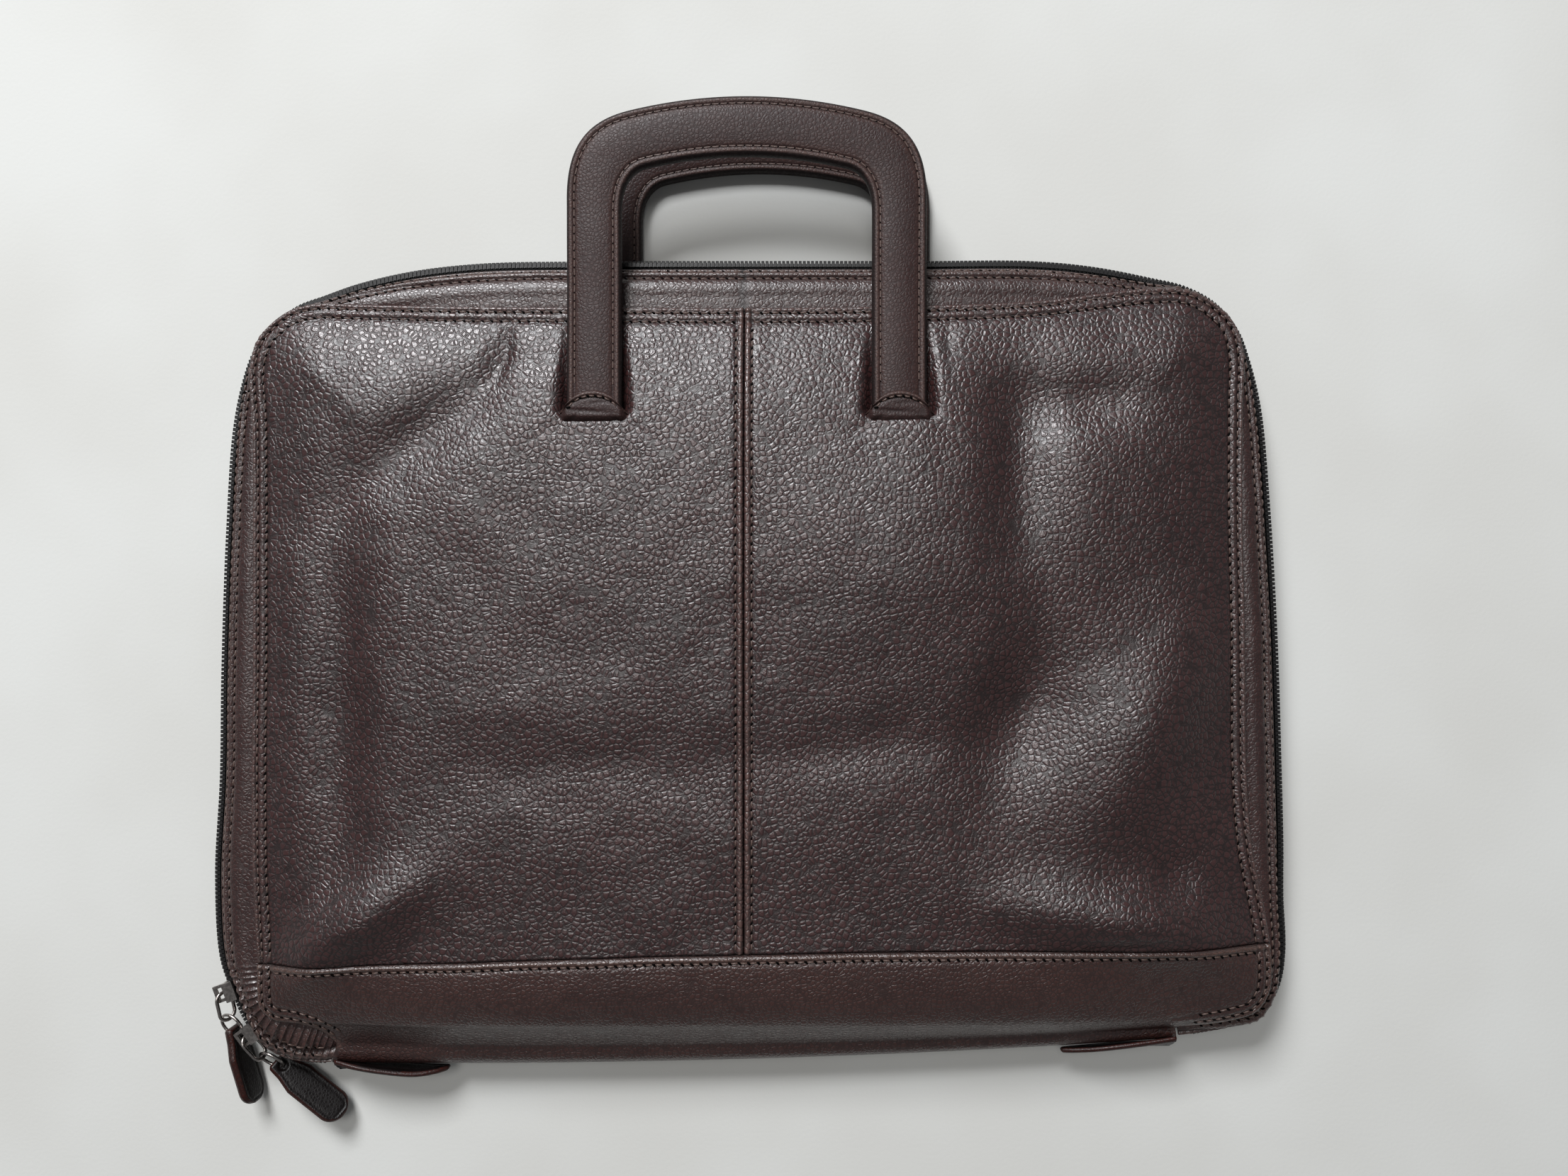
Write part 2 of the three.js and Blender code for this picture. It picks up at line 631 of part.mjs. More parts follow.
// Half-moon flaps. `side` is 1 on the front, where leather lies over the leg, and -1 at the back.
function flap(legX, foot, side, root, over, panel) {
  const lines = [-1, -0.5, 0, 0.4, 0.75, 1];
  const columns = [-1, -0.86, -0.68, 0, 0.68, 0.86, 1];
  const chord = foot - 1.5;
  const grid = lines.map((line) => columns.map((column) => {
    const y = line < 0 ? chord + line * root : chord + line * flapRise * Math.sqrt(1 - (0.98 * column) ** 2);
    const x = legX + column * flapHalf * (line < 0 ? 1 : 1 - 0.25 * line * line);
    const droop = flapDroop * smooth((Math.abs(x - legX) - strapWidth / 2 + 0.4) / 3.4);
    const onLeg = over(y) + side * (seamGap - droop);
    const onPanel = panel(x, y) + side * rootGap;
    const height = mix(onLeg, onPanel, line < 0 ? smooth(-line) : 0);
    return vec(x, y, height + side * flapWall);
  }));
  return flatSheet(grid, side * flapWall);
}

// End tabs: half-round leaves that start at the ends of the zip and lie along the bottom fold.
const tabColumns = ['along', 'topY', 'topZ', 'lowY', 'lowZ'];
// A row for each section: along the tab, then top and low edge, y from the bottom fold
// outwards in shares of bandWidth and z in shares of seamHeight.
const leftTabRows = [
  [0, -9.8, 72, 2.2, 42],
  [22, -5.2, 78, 3.2, 22],
  [48, 0, 74, 5.2, 14],
  [72, 3.2, 68, 6, 16],
  [90, 2.6, 58, 4.2, 26],
  [100, 1.6, 46, 2, 36],
];
const rightTabRows = [
  [0, -9.6, 84, 3.4, 46],
  [22, -7, 82, 3.2, 40],
  [48, -4, 78, 2.8, 38],
  [72, -1, 70, 3, 38],
  [90, 0.6, 62, 2.4, 42],
  [100, 1.2, 56, 1.6, 46],
];
const tabLength = 41;

function endTab(rows, rootX, direction) {
  const sections = rows.map((row) => named(tabColumns, row));
  const grid = sections.map((section) => [0, 0.33, 0.67, 1].map((share) => {
    const x = rootX + direction * section.along * tabLength;
    const y = foldY(x) - mix(section.topY, section.lowY, share) * bandWidth;
    return vec(x, y, mix(section.topZ, section.lowZ, share) * seamHeight);
  }));
  return solidBetween(grid, grid.map((line) => line.map((point) => vec(point.x, point.y - tabWall, point.z))));
}

// The outermost line of the bottom fold at a given x.
function foldY(x) {
  const left = bandLeft(0.5);
  const right = bandRight(0.5);
  const u = clamp01((x - left.x) / (right.x - left.x));
  return mix(left.y, right.y, u) - bandBow * 4 * u * (1 - u);
}

// Zip sliders, loops, jump rings and pulls
function basis(origin, xAxis, yAxis) {
  const x = xAxis.clone().normalize();
  const z = x.clone().cross(yAxis).normalize();
  const y = z.clone().cross(x);
  return new THREE.Matrix4().makeBasis(x, y, z).setPosition(origin);
}

function boxBetween(low, high) {
  const box = new THREE.BoxGeometry(high[0] - low[0], high[1] - low[1], high[2] - low[2]);
  return box.translate((low[0] + high[0]) / 2, (low[1] + high[1]) / 2, (low[2] + high[2]) / 2);
}

// In its own frame a slider has x outwards, y up and z along the zip; x is 0 at the coil's face.
function slider() {
  const sideLow = coilHeight / 2 + sliderClear;
  const sideHigh = sideLow + sliderPlate;
  const face = sliderClear + sliderPlate;
  const half = sliderLength / 2;
  const plate = boxBetween([sliderClear, -sideHigh, -half], [face, sideHigh, half]);
  const upper = boxBetween([-coilDepth, sideLow, -half], [face, sideHigh, half]);
  const lower = boxBetween([-coilDepth, -sideHigh, -half], [face, -sideLow, half]);
  const bridge = boxBetween([face - 0.2, -bridgeThick / 2, -bridgeHalf], [face + bridgeReach, bridgeThick / 2, bridgeHalf]);
  const hole = boxBetween(
    [face + 0.3, -bridgeThick, -bridgeHalf + bridgeBar],
    [face + bridgeReach - bridgeBar, bridgeThick, bridgeHalf - bridgeBar]);
  const body = toManifold(plate).add(toManifold(upper)).add(toManifold(lower)).add(toManifold(bridge));
  return fromManifold(body.subtract(toManifold(hole)));
}

function stadium(path, length, width, steps) {
  const half = width / 2;
  for (let side = 0; side < 2; side += 1) {
    const centre = side === 0 ? length / 2 - half : half - length / 2;
    const start = side === 0 ? -Math.PI / 2 : Math.PI / 2;
    for (let step = 0; step <= steps; step += 1) {
      const angle = start + Math.PI * step / steps;
      const x = centre + half * Math.cos(angle);
      const y = half * Math.sin(angle);
      if (side === 0 && step === 0) path.moveTo(x, y);
      else path.lineTo(x, y);
    }
  }
  path.closePath();
  return path;
}

function pullLoop() {
  const shape = stadium(new THREE.Shape(), loopLength, loopWidth, 8);
  shape.holes.push(stadium(new THREE.Path(), loopLength - 2 * loopBar, loopWidth - 2 * loopBar, 8));
  const geometry = new THREE.ExtrudeGeometry(shape, { depth: loopThick, bevelEnabled: false });
  return geometry.translate(0, 0, -loopThick / 2);
}

function zipPull(length) {
  const half = pullWidth / 2;
  const neck = pullNeck / 2;
  const shape = new THREE.Shape();
  shape.moveTo(-pullHole * 1.6, neck * 0.85);
  shape.lineTo(-pullHole * 1.6, -neck * 0.85);
  shape.lineTo(pullHole, -neck);
  shape.lineTo(pullHole + 6, -half);
  shape.lineTo(length - half * 0.9, -half);
  shape.quadraticCurveTo(length, -half, length, 0);
  shape.quadraticCurveTo(length, half, length - half * 0.9, half);
  shape.lineTo(pullHole + 6, half);
  shape.lineTo(pullHole, neck);
  shape.closePath();
  const hole = new THREE.Path();
  hole.absarc(0.3, 0, pullHole, 0, Math.PI * 2);
  shape.holes.push(hole);
  const geometry = new THREE.ExtrudeGeometry(shape, {
    depth: pullThick - 1, bevelThickness: 0.5, bevelSize: 0.5, bevelOffset: -0.5, bevelSegments: 1, curveSegments: 6,
  });
  return geometry.translate(0, 0, -pullThick / 2 + 0.5);
}

// Where the two sliders stand and how what hangs from them lies. Directions are x, y, z.
const pullSets = [
  {
    name: 'side', row: 5, loopOut: 0.22, loopDown: 0.16, loopTilt: 0.62,
    ringTo: vec(1.4, -9, -3.4), pull: vec(0.26, -0.96, -0.05), pullFace: vec(0.94, 0.26, 0.22), length: 27,
  },
  {
    name: 'corner', row: 3.6, loopOut: 0.05, loopDown: 0.28, loopTilt: 0.45,
    ringTo: vec(7.2, -5.0, -1.9), pull: vec(0.771, -0.637, -0.03), pullFace: vec(0.38, 0.44, 0.81), length: 30,
  },
];

const meshes = [];
function piece(name, geometry, colour, roughness, metalness = 0) {
  const material = new THREE.MeshStandardMaterial({ color: colour, roughness, metalness });
  const mesh = new THREE.Mesh(geometry, material);
  mesh.name = name;
  meshes.push(mesh);
  return mesh;
}

const pebbled = 0x4d3d3d;
const smoothLeather = 0x51413f;
const darkLeather = 0x140c0b;
const nylon = 0x0d0c0d;
const silver = 0x908885;

piece('front_panel_left', frontPanel(true), pebbled, 0.45);
piece('front_panel_right', frontPanel(false), pebbled, 0.45);
piece('bottom_band', bottomBand(), smoothLeather, 0.5);
piece('back_panel', backPanel(), pebbled, 0.5);
piece('gusset_front_strip', sheet(frontStripGrid, gussetWall), pebbled, 0.5);
piece('gusset_back_strip', sheet(backStripGrid.map((line) => [...line].reverse()), gussetWall), pebbled, 0.5);
piece('zip_tape', zipTape(), nylon, 0.9);
piece('zip_coil', zipCoil(), nylon, 0.6);
piece('handle_front', handle(frontHandleX, 0, frontLegLift), smoothLeather, 0.45);
piece('handle_rear', handle(rearHandleX, rearHandleShift, rearLegLift), smoothLeather, 0.45);

['left', 'right'].forEach((side, index) => {
  const over = (y) => frontLegLift(Math.max(y, handleFoot)) + strapThickness;
  const panel = (x, y) => frontHeight(seamHeight, x, y);
  piece(`handle_flap_front_${side}`, flap(frontLegs[index], handleFoot, 1, flapRoot, over, panel), smoothLeather, 0.45);
});
['left', 'right'].forEach((side, index) => {
  const flapPiece = flap(rearLegs[index], rearFoot, -1, rearFlapRoot, () => rearLegRise - 0.1, backHeight);
  piece(`handle_flap_rear_${side}`, flapPiece, smoothLeather, 0.45);
});
piece('end_tab_left', endTab(leftTabRows, bandLeft(0.45).x + 1, 1), darkLeather, 0.35);
piece('end_tab_right', endTab(rightTabRows, bandRight(0.45).x - 1, -1), darkLeather, 0.35);

for (const set of pullSets) {
  const station = stationFrame(set.row);
  const along = zipAt(set.row - 0.2).sub(zipAt(set.row + 0.2)).setZ(0).normalize();
  const out = vec(-along.y, along.x, 0);
  if (out.dot(station.out) < 0) out.negate();
  const face = zipAt(set.row);
  const upright = vec(0, 0, 1);
  const sliderMesh = piece(`zip_slider_${set.name}`, slider(), silver, 0.3, 1);
  sliderMesh.applyMatrix4(basis(face, out, upright));

  const eye = face.clone().addScaledVector(out, sliderClear + sliderPlate + 0.3 + (bridgeReach - bridgeBar) / 2);
  const loopAxis = along.clone().addScaledVector(out, set.loopOut).add(vec(0, 0, -set.loopDown)).normalize();
  const across = out.clone().multiplyScalar(set.loopTilt).add(vec(0, 0, Math.sqrt(1 - set.loopTilt ** 2)));
  const loopMiddle = eye.clone().addScaledVector(loopAxis, loopLength / 2 - loopBar / 2);
  piece(`pull_loop_${set.name}`, pullLoop(), silver, 0.3, 1).applyMatrix4(basis(loopMiddle, loopAxis, across));

  const ringStart = eye.clone().addScaledVector(loopAxis, loopLength - 1.5 * loopBar - ringWire - seamGap);
  const ringAxis = set.ringTo.clone().normalize();
  const ringMiddle = ringStart.clone().addScaledVector(ringAxis, ringRadius);
  const loopFace = loopAxis.clone().cross(across).normalize();
  if (loopFace.dot(set.pullFace) < 0) loopFace.negate();
  const wireWay = loopFace.add(set.pullFace.clone().normalize());
  const ring = new THREE.TorusGeometry(ringRadius, ringWire, 5, 16);
  piece(`jump_ring_${set.name}`, ring, silver, 0.3, 1).applyMatrix4(basis(ringMiddle, ringAxis, wireWay));

  const pullStart = ringMiddle.clone().addScaledVector(ringAxis, ringRadius);
  const pullAxis = set.pull.clone().normalize();
  const pullSide = set.pullFace.clone().cross(pullAxis).normalize();
  piece(`zip_pull_${set.name}`, zipPull(set.length), darkLeather, 0.25)
    .applyMatrix4(basis(pullStart, pullAxis, pullSide));
}

const documentCase = new THREE.Group();
meshes.forEach((mesh) => documentCase.add(mesh));
export default documentCase;
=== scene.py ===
# %% [markdown]
# A slim leather document case lies on its back on a pale table and is seen from straight
# above. It was sewn from soft pebbled hides, with a zip round three sides and two flat
# handles. Each cell below makes one piece or one finish. The solid model is loaded first,
# because every visible piece has to sit where its solid sits.

import math

import bpy
import numpy as np
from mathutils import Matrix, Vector
from mathutils.bvhtree import BVHTree


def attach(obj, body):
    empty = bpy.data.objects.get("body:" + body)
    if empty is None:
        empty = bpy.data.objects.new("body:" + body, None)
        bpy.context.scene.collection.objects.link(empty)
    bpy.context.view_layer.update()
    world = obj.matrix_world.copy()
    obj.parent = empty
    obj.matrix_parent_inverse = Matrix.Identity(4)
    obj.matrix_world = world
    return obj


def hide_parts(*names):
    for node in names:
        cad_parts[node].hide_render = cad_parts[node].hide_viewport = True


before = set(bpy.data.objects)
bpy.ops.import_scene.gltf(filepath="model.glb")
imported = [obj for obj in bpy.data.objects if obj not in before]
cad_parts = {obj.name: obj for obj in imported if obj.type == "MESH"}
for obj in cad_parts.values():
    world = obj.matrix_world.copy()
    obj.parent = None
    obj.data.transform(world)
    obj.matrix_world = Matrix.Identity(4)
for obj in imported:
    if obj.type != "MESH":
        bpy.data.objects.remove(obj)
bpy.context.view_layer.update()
MM = 0.001

# %% [markdown]
# The case was drawn from a few sizes and one table. The table walks round the outline from
# the lower left end of the zip, up the left side, over the top and down the right side. At
# each row it says where the turned edge of the front and the zip are. A spline through the
# rows could be a Blender curve object, but plain arrays are easier to bend into surfaces.

# %% Sizes of the body in millimetres
HALF_WIDTH = 200.0
HALF_HEIGHT = 150.0
SEAM_HEIGHT = 24.0
ZIP_HEIGHT = 13.0
CROWN_HEIGHT = 9.0
CROWN_RUN = 25.0
BAND_LEFT_Y = -109.5
BAND_RIGHT_Y = -101.8
BAND_ARCH = 2.4
BAND_BOW = 3.2
BAND_RAISE = 1.1
SEAM_X = -2.4
WALL = 1.8
GAP = 0.3
OUTLINE = np.array([
    # front x, front y, zip x, zip y, seam height, zip height, all in hundredths
    [-77.2, -94.7, -78.9, -100.6, 67, 72], [-79.6, -90.9, -82.3, -100.4, 79, 77],
    [-83.6, -88.5, -87.0, -99.1, 88, 85], [-87.9, -87.2, -91.4, -95.7, 94, 92],
    [-90.2, -84.0, -95.0, -89.6, 98, 94], [-90.6, -79.9, -97.5, -81.7, 100, 97],
    [-90.6, -73.2, -99.5, -73.2, 100, 100], [-91.4, -52.3, -100.4, -53.0, 100, 100],
    [-91.6, -28.1, -99.5, -28.3, 100, 100], [-91.4, -0.7, -99.2, -0.7, 100, 100],
    [-91.4, 33.3, -98.3, 33.6, 100, 100], [-91.5, 58.5, -97.1, 59.0, 100, 96],
    [-92.0, 72.0, -95.5, 71.4, 100, 85], [-90.8, 78.7, -93.8, 78.5, 100, 75],
    [-88.2, 83.2, -90.6, 84.5, 100, 70], [-84.2, 86.9, -86.0, 89.4, 100, 74],
    [-79.0, 88.4, -80.3, 92.0, 100, 84], [-72.6, 88.2, -73.6, 94.8, 100, 94],
    [-62.5, 87.9, -63.2, 97.8, 100, 100], [-50.0, 87.6, -50.2, 99.7, 100, 100],
    [-31.0, 87.5, -31.0, 100.2, 100, 100], [-1.2, 87.3, -1.2, 100.3, 100, 100],
    [31.2, 87.9, 31.2, 100.3, 100, 100], [52.0, 89.0, 52.2, 100.3, 100, 100],
    [63.0, 90.7, 64.0, 98.9, 100, 98], [73.0, 92.1, 74.8, 96.4, 100, 88],
    [80.0, 91.8, 81.9, 94.4, 100, 76], [85.2, 88.3, 87.6, 90.4, 100, 70],
    [88.9, 83.0, 91.6, 83.7, 100, 75], [90.4, 75.7, 93.5, 75.7, 100, 88],
    [90.3, 63.3, 95.4, 63.2, 100, 98], [90.2, 41.1, 96.9, 41.1, 100, 100],
    [90.7, 6.5, 98.4, 6.6, 100, 100], [91.0, -28.1, 99.2, -28.0, 100, 100],
    [92.1, -45.3, 99.5, -45.0, 100, 100], [94.0, -58.0, 99.5, -58.0, 100, 100],
    [95.5, -72.0, 99.9, -72.0, 100, 98], [95.2, -80.1, 98.9, -81.0, 98, 92],
    [92.8, -85.2, 95.4, -88.9, 95, 86], [87.5, -87.9, 88.6, -91.6, 88, 84],
    [78.7, -90.2, 79.4, -94.0, 71, 80],
]) / 100
SEAM = OUTLINE[:, [0, 1, 4]] * [HALF_WIDTH, HALF_HEIGHT, SEAM_HEIGHT]
ZIP = OUTLINE[:, [2, 3, 5]] * [HALF_WIDTH, HALF_HEIGHT, ZIP_HEIGHT]
LAST_ROW = len(OUTLINE) - 1
CORNER_LEFT = 14
CORNER_RIGHT = 27
TOP_MIDDLE = 21


# %% [markdown]
# The rows of the table are joined by a spline that keeps close to them and doesn't swing
# out where they lie near each other. Blender's curves have no such kind, so it is written
# out here. The small helpers after it answer where the outline has some x or y.

# %% A spline through the rows
def spline(points, rows):
    """Centripetal spline through points, read at row numbers that may lie between rows."""
    rows = np.clip(np.atleast_1d(np.asarray(rows, float)), 0, len(points) - 1)
    ends = (2 * points[:1] - points[1:2], 2 * points[-1:] - points[-2:-1])
    padded = np.vstack([ends[0], points, ends[1]])
    first = np.minimum(rows.astype(int), len(points) - 2)
    share = (rows - first)[:, None]
    p0, p1, p2, p3 = (padded[first + step] for step in range(4))
    d0, d1, d2 = (np.sqrt(np.linalg.norm(b - a, axis=1))[:, None] for a, b in ((p0, p1), (p1, p2), (p2, p3)))
    lean1 = ((p1 - p0) / d0 - (p2 - p0) / (d0 + d1) + (p2 - p1) / d1) * d1
    lean2 = ((p2 - p1) / d1 - (p3 - p1) / (d1 + d2) + (p3 - p2) / d2) * d1
    square = -3 * p1 + 3 * p2 - 2 * lean1 - lean2
    cube = 2 * p1 - 2 * p2 + lean1 + lean2
    return p1 + share * (lean1 + share * (square + share * cube))


def rows_where(axis, values, low, high):
    """Row numbers between low and high where the turned edge has the wanted x or y."""
    rows = np.linspace(low, high, 600)
    found = spline(SEAM, rows)[:, axis]
    order = np.argsort(found)
    return np.interp(values, found[order], rows[order])


ROWS_NEAR_LEFT = (5, 8)
ROWS_NEAR_RIGHT = (35, 38)
BAND_END_LEFT = rows_where(1, [BAND_LEFT_Y], *ROWS_NEAR_LEFT)[0]
BAND_END_RIGHT = rows_where(1, [BAND_RIGHT_Y], *ROWS_NEAR_RIGHT)[0]


def band_corner(side, shift):
    """Row where the folded edge of the band, shifted by some millimetres, ends at one side."""
    if side < 0:
        return rows_where(1, [BAND_LEFT_Y + shift], *ROWS_NEAR_LEFT)[0]
    return rows_where(1, [BAND_RIGHT_Y + shift], *ROWS_NEAR_RIGHT)[0]


def band_arch(x):
    """How far the folded edge arches above the straight line between its ends."""
    low, high = spline(SEAM, [BAND_END_LEFT, BAND_END_RIGHT])[:, 0]
    share = np.clip((x - low) / (high - low), 0, 1)
    return BAND_ARCH * 4 * share * (1 - share)


def folded_edge_y(x):
    ends = spline(SEAM, [BAND_END_LEFT, BAND_END_RIGHT])
    return np.interp(x, ends[:, 0], ends[:, 1]) + band_arch(x)


SEAM_DENSE = spline(SEAM, np.linspace(0, LAST_ROW, LAST_ROW * 8 + 1))[:, :2]


def seam_distance(x, y):
    """Distance in plan from points to the turned edge."""
    points = np.stack([np.ravel(x), np.ravel(y)], 1)
    start, step = SEAM_DENSE[:-1], np.diff(SEAM_DENSE, axis=0)
    nearest = np.full(len(points), 1e9)
    for a, d in zip(start, step):
        share = np.clip(((points - a) @ d) / (d @ d), 0, 1)
        nearest = np.minimum(nearest, np.linalg.norm(points - a - share[:, None] * d, axis=1))
    return nearest.reshape(np.shape(x))


def smooth(value):
    value = np.clip(value, 0, 1)
    return value * value * (3 - 2 * value)


def mix(a, b, share):
    return a + (b - a) * share


# %% [markdown]
# Soft leather never lies flat. The front of this case keeps the memory of what it carried:
# a mound on the right panel, troughs round it, and bright ridges above the bottom band. A
# cloth simulation would give folds of its own choosing, so the folds are listed here as
# soft bumps. The solid model has the same folds in a calmer form. Here they are drawn
# stronger, because only steep slopes catch the light, so the highest ridge stands about
# five millimetres above the solid.

# %% Folds of the front
FOLDS = [
    # x, y, reach x, reach y, turn in degrees, height, in hundredths of the body's sizes
    (24, 27, 24, 27, 0, 24), (49, 52, 6.5, 30, 0, -30), (50, -9, 8, 22, -24, -34),
    (75, -12, 10, 34, -34, 42), (71, -62, 24, 8, -8, 46), (77, -50, 4.5, 5.5, 0, -16),
    (-76, -65, 18, 7.5, 33, 54), (-75, -6, 6, 46, 0, -32), (-59, 56, 20, 8, 38, -30),
    (-45.5, 76, 2.4, 9, -18, -22), (60, 64, 14, 8, 0, -28), (-30, -25, 26, 9, 0, -12),
    (24, -19, 24, 7, 3, -9),
]
FOLD_GAIN = 1.9
CREASES = [
    # small wrinkles: x, y, half length, half width, turn, depth, in millimetres
    (-88.5, 121, 1.3, 9, -4, -1.0), (-90, 110, 1.2, 6, -22, -0.9), (-94.5, 104, 1.1, 6, -40, -0.6),
    (-86.4, 122, 0.9, 7, 2, 0.6), (-72, 86, 1.2, 7, -55, -0.45), (-38, 84, 1.1, 7, 58, -0.4),
    (38.5, 85, 1.2, 7, -58, -0.45), (71, 84, 1.2, 8, 52, -0.5), (72, 118, 1.5, 9, 4, -0.7),
    (-150, -92, 1.4, 10, -62, -0.5), (-141, -99, 1.2, 11, -70, -0.45), (-163, -84, 1.3, 7, -50, -0.4),
    (139, -99, 1.5, 18, -84, -0.5), (155, -84, 1.5, 7, -40, -0.6), (-171, -95, 1.2, 6, -30, -0.4),

]


LEG_MIDDLES = (-56.4, 53.8)
FAN_TURNS = (-68, -44, -20, 20, 44, 68)
FAN_SPREAD = 9.5
FAN_TOP = 88.5
FAN_REACH = 6.5

# wrinkles that fan out from the two lower corners of each flap
for leg in LEG_MIDDLES:
    for turn in FAN_TURNS:
        sway = math.radians(turn)
        start = leg + math.copysign(FAN_SPREAD, turn)
        CREASES.append((start + FAN_REACH * math.sin(sway), FAN_TOP - FAN_REACH * math.cos(sway),
                        0.75, 4.5, turn, -0.38))


def bumps(rows, x, y):
    """Sum of soft oval bumps. Each row says place, reach both ways, turn and height."""
    total = np.zeros(np.shape(x))
    for cx, cy, rx, ry, turn, height in rows:
        angle = math.radians(turn)
        dx, dy = x - cx, y - cy
        along = (dx * math.cos(angle) + dy * math.sin(angle)) / rx
        across = (dy * math.cos(angle) - dx * math.sin(angle)) / ry
        total += height * np.exp(-along ** 2 - across ** 2)
    return total


FOLDS_MM = [
    (x * HALF_WIDTH / 100, y * HALF_HEIGHT / 100, rx * HALF_WIDTH / 100, ry * HALF_HEIGHT / 100,
     turn, h * CROWN_HEIGHT / 100) for x, y, rx, ry, turn, h in FOLDS
]


def soft_noise(x, y, cell, seed):
    """Smooth random field between -1 and 1 with bumps about one cell wide."""
    lattice = np.random.RandomState(seed).uniform(-1, 1, (512, 512))
    u, v = np.asarray(x) / cell + 200.3, np.asarray(y) / cell + 200.7
    i, j = np.floor(u).astype(int), np.floor(v).astype(int)
    su, sv = smooth(u - i), smooth(v - j)
    low = mix(lattice[i, j], lattice[i + 1, j], su)
    return mix(low, mix(lattice[i, j + 1], lattice[i + 1, j + 1], su), sv)


# %% [markdown]
# The legs of the front handle lie on the panels and press them in. The handles' sizes
# come first, because the panels need them: their height is held under a low ceiling below
# each leg, and the two heights are blended so that the dent has a soft rim.

# %% Handles press into the front
HANDLE_HALF = 65.0
STRAP_WIDTH = 19.8
STRAP_THICK = 5.6
HANDLE_TOP = 205.0
HANDLE_FOOT = 91.5
FRONT_X = -1.3
REAR_X = 3.0
REAR_SHIFT = 3.4
LEG_OFFSET = HANDLE_HALF - STRAP_WIDTH / 2
FRONT_LEGS = (FRONT_X - LEG_OFFSET, FRONT_X + LEG_OFFSET)
REAR_LEGS = (REAR_X - LEG_OFFSET, REAR_X + LEG_OFFSET)
LEG_ALONG = np.array([0, 0.36, 0.6, 1])
LEG_LIFT = np.array([1.1, 1.085, 1.11, 1.16]) * SEAM_HEIGHT


SEAT_MARGIN = 0.6
SEAT_GAP = 0.5
SEAT_BLEND = 0.8
SIDE_SLOPE = 2.0
FOOT_SLOPE = 5.0


def front_leg_lift(y):
    """Underside of the front handle above the table."""
    along = np.clip((np.asarray(y, float) - HANDLE_FOOT) / (HANDLE_TOP - HANDLE_FOOT), 0, 1)
    span = np.clip(np.searchsorted(LEG_ALONG, along, side="right") - 1, 0, len(LEG_ALONG) - 2)
    share = (along - LEG_ALONG[span]) / (LEG_ALONG[span + 1] - LEG_ALONG[span])
    return mix(LEG_LIFT[span], LEG_LIFT[span + 1], smooth(share))


def seat_ceiling(x, y):
    """The leather under and beside a leg is pressed in: it may rise only away from the leg."""
    ceiling = np.full(np.shape(x), 99.0)
    for leg_x in FRONT_LEGS:
        beside = np.maximum(0, np.abs(x - leg_x) - STRAP_WIDTH / 2 - SEAT_MARGIN)
        below = np.maximum(0, HANDLE_FOOT - SEAT_MARGIN - y)
        under = front_leg_lift(np.maximum(y, HANDLE_FOOT)) - SEAT_GAP
        ceiling = np.minimum(ceiling, under + beside * SIDE_SLOPE + below * FOOT_SLOPE)
    return ceiling


def soft_min(a, b, width):
    """The lower of two heights, with the bend between them rounded over a width."""
    return -width * np.logaddexp(-a / width, -b / width)


def relief(x, y, distance):
    """Rise of the front above its turned edge, with folds and fine unevenness."""
    edge = 1 - np.exp(-((distance / CROWN_RUN) ** 1.5))
    calm = smooth(distance / 10)
    rise = (CROWN_HEIGHT + FOLD_GAIN * bumps(FOLDS_MM, x, y)) * edge
    rise += calm * (0.45 * soft_noise(x, y, 24, 3) + 0.2 * soft_noise(x, y, 9, 5) + bumps(CREASES, x, y))
    return rise


middle_rise = relief(np.array([0.0]), np.array([0.0]), np.array([130.0]))[0]
print("crown at the middle, mm:", round(float(middle_rise), 2))

# %% [markdown]
# Where two hides meet, the maker folds the edge over and sews it down, which leaves a
# raised rim, a shallow ditch under each row of stitches and a soft pad between the rows.
# These are a millimetre or less, but light catches them, so they are in the mesh; besides,
# the rims get a painted highlight and the ditches painted shade. A profile table gives the
# height at each distance from the edge.

# %% Profiles of seams
TURNED_EDGE = np.array([
    # distance from the edge, height
    [0, -1.5], [0.25, -0.45], [0.6, 0.2], [1.1, 0.38], [1.6, 0.12], [2.3, -0.62], [2.9, -0.08],
    [3.6, 0.3], [4.4, 0.22], [5.1, -0.35], [5.7, -0.7], [6.3, -0.3], [7.5, 0.08], [10, 0],
])
MIDDLE_SEAM = np.array([
    [0, -0.5], [0.25, -0.15], [0.8, 0.32], [1.5, 0.4], [2.2, 0.1], [2.9, -0.4], [3.5, -0.05],
    [5, 0.1], [8, 0],
])
FOLDED_EDGE = np.array([
    [0, -0.9], [0.3, 0.0], [0.8, 0.4], [1.5, 0.36], [2.1, -0.1], [2.6, -0.5], [3.2, -0.15],
    [4.4, 0.05], [6, 0],
])
PITCH = 3.4
EDGE_ROWS = (2.3, 5.7)
SEAM_ROWS = 2.9
FOLD_ROW = 2.6


def profile(table, distance):
    return np.interp(distance, table[:, 0], table[:, 1])


def soft_band(distance, at, width):
    """A soft band round a given distance: 1 there, fading over its width. It places painted rim highlights
    and painted ditch shade.
    """
    return np.exp(-(((distance - at) / width) ** 2))
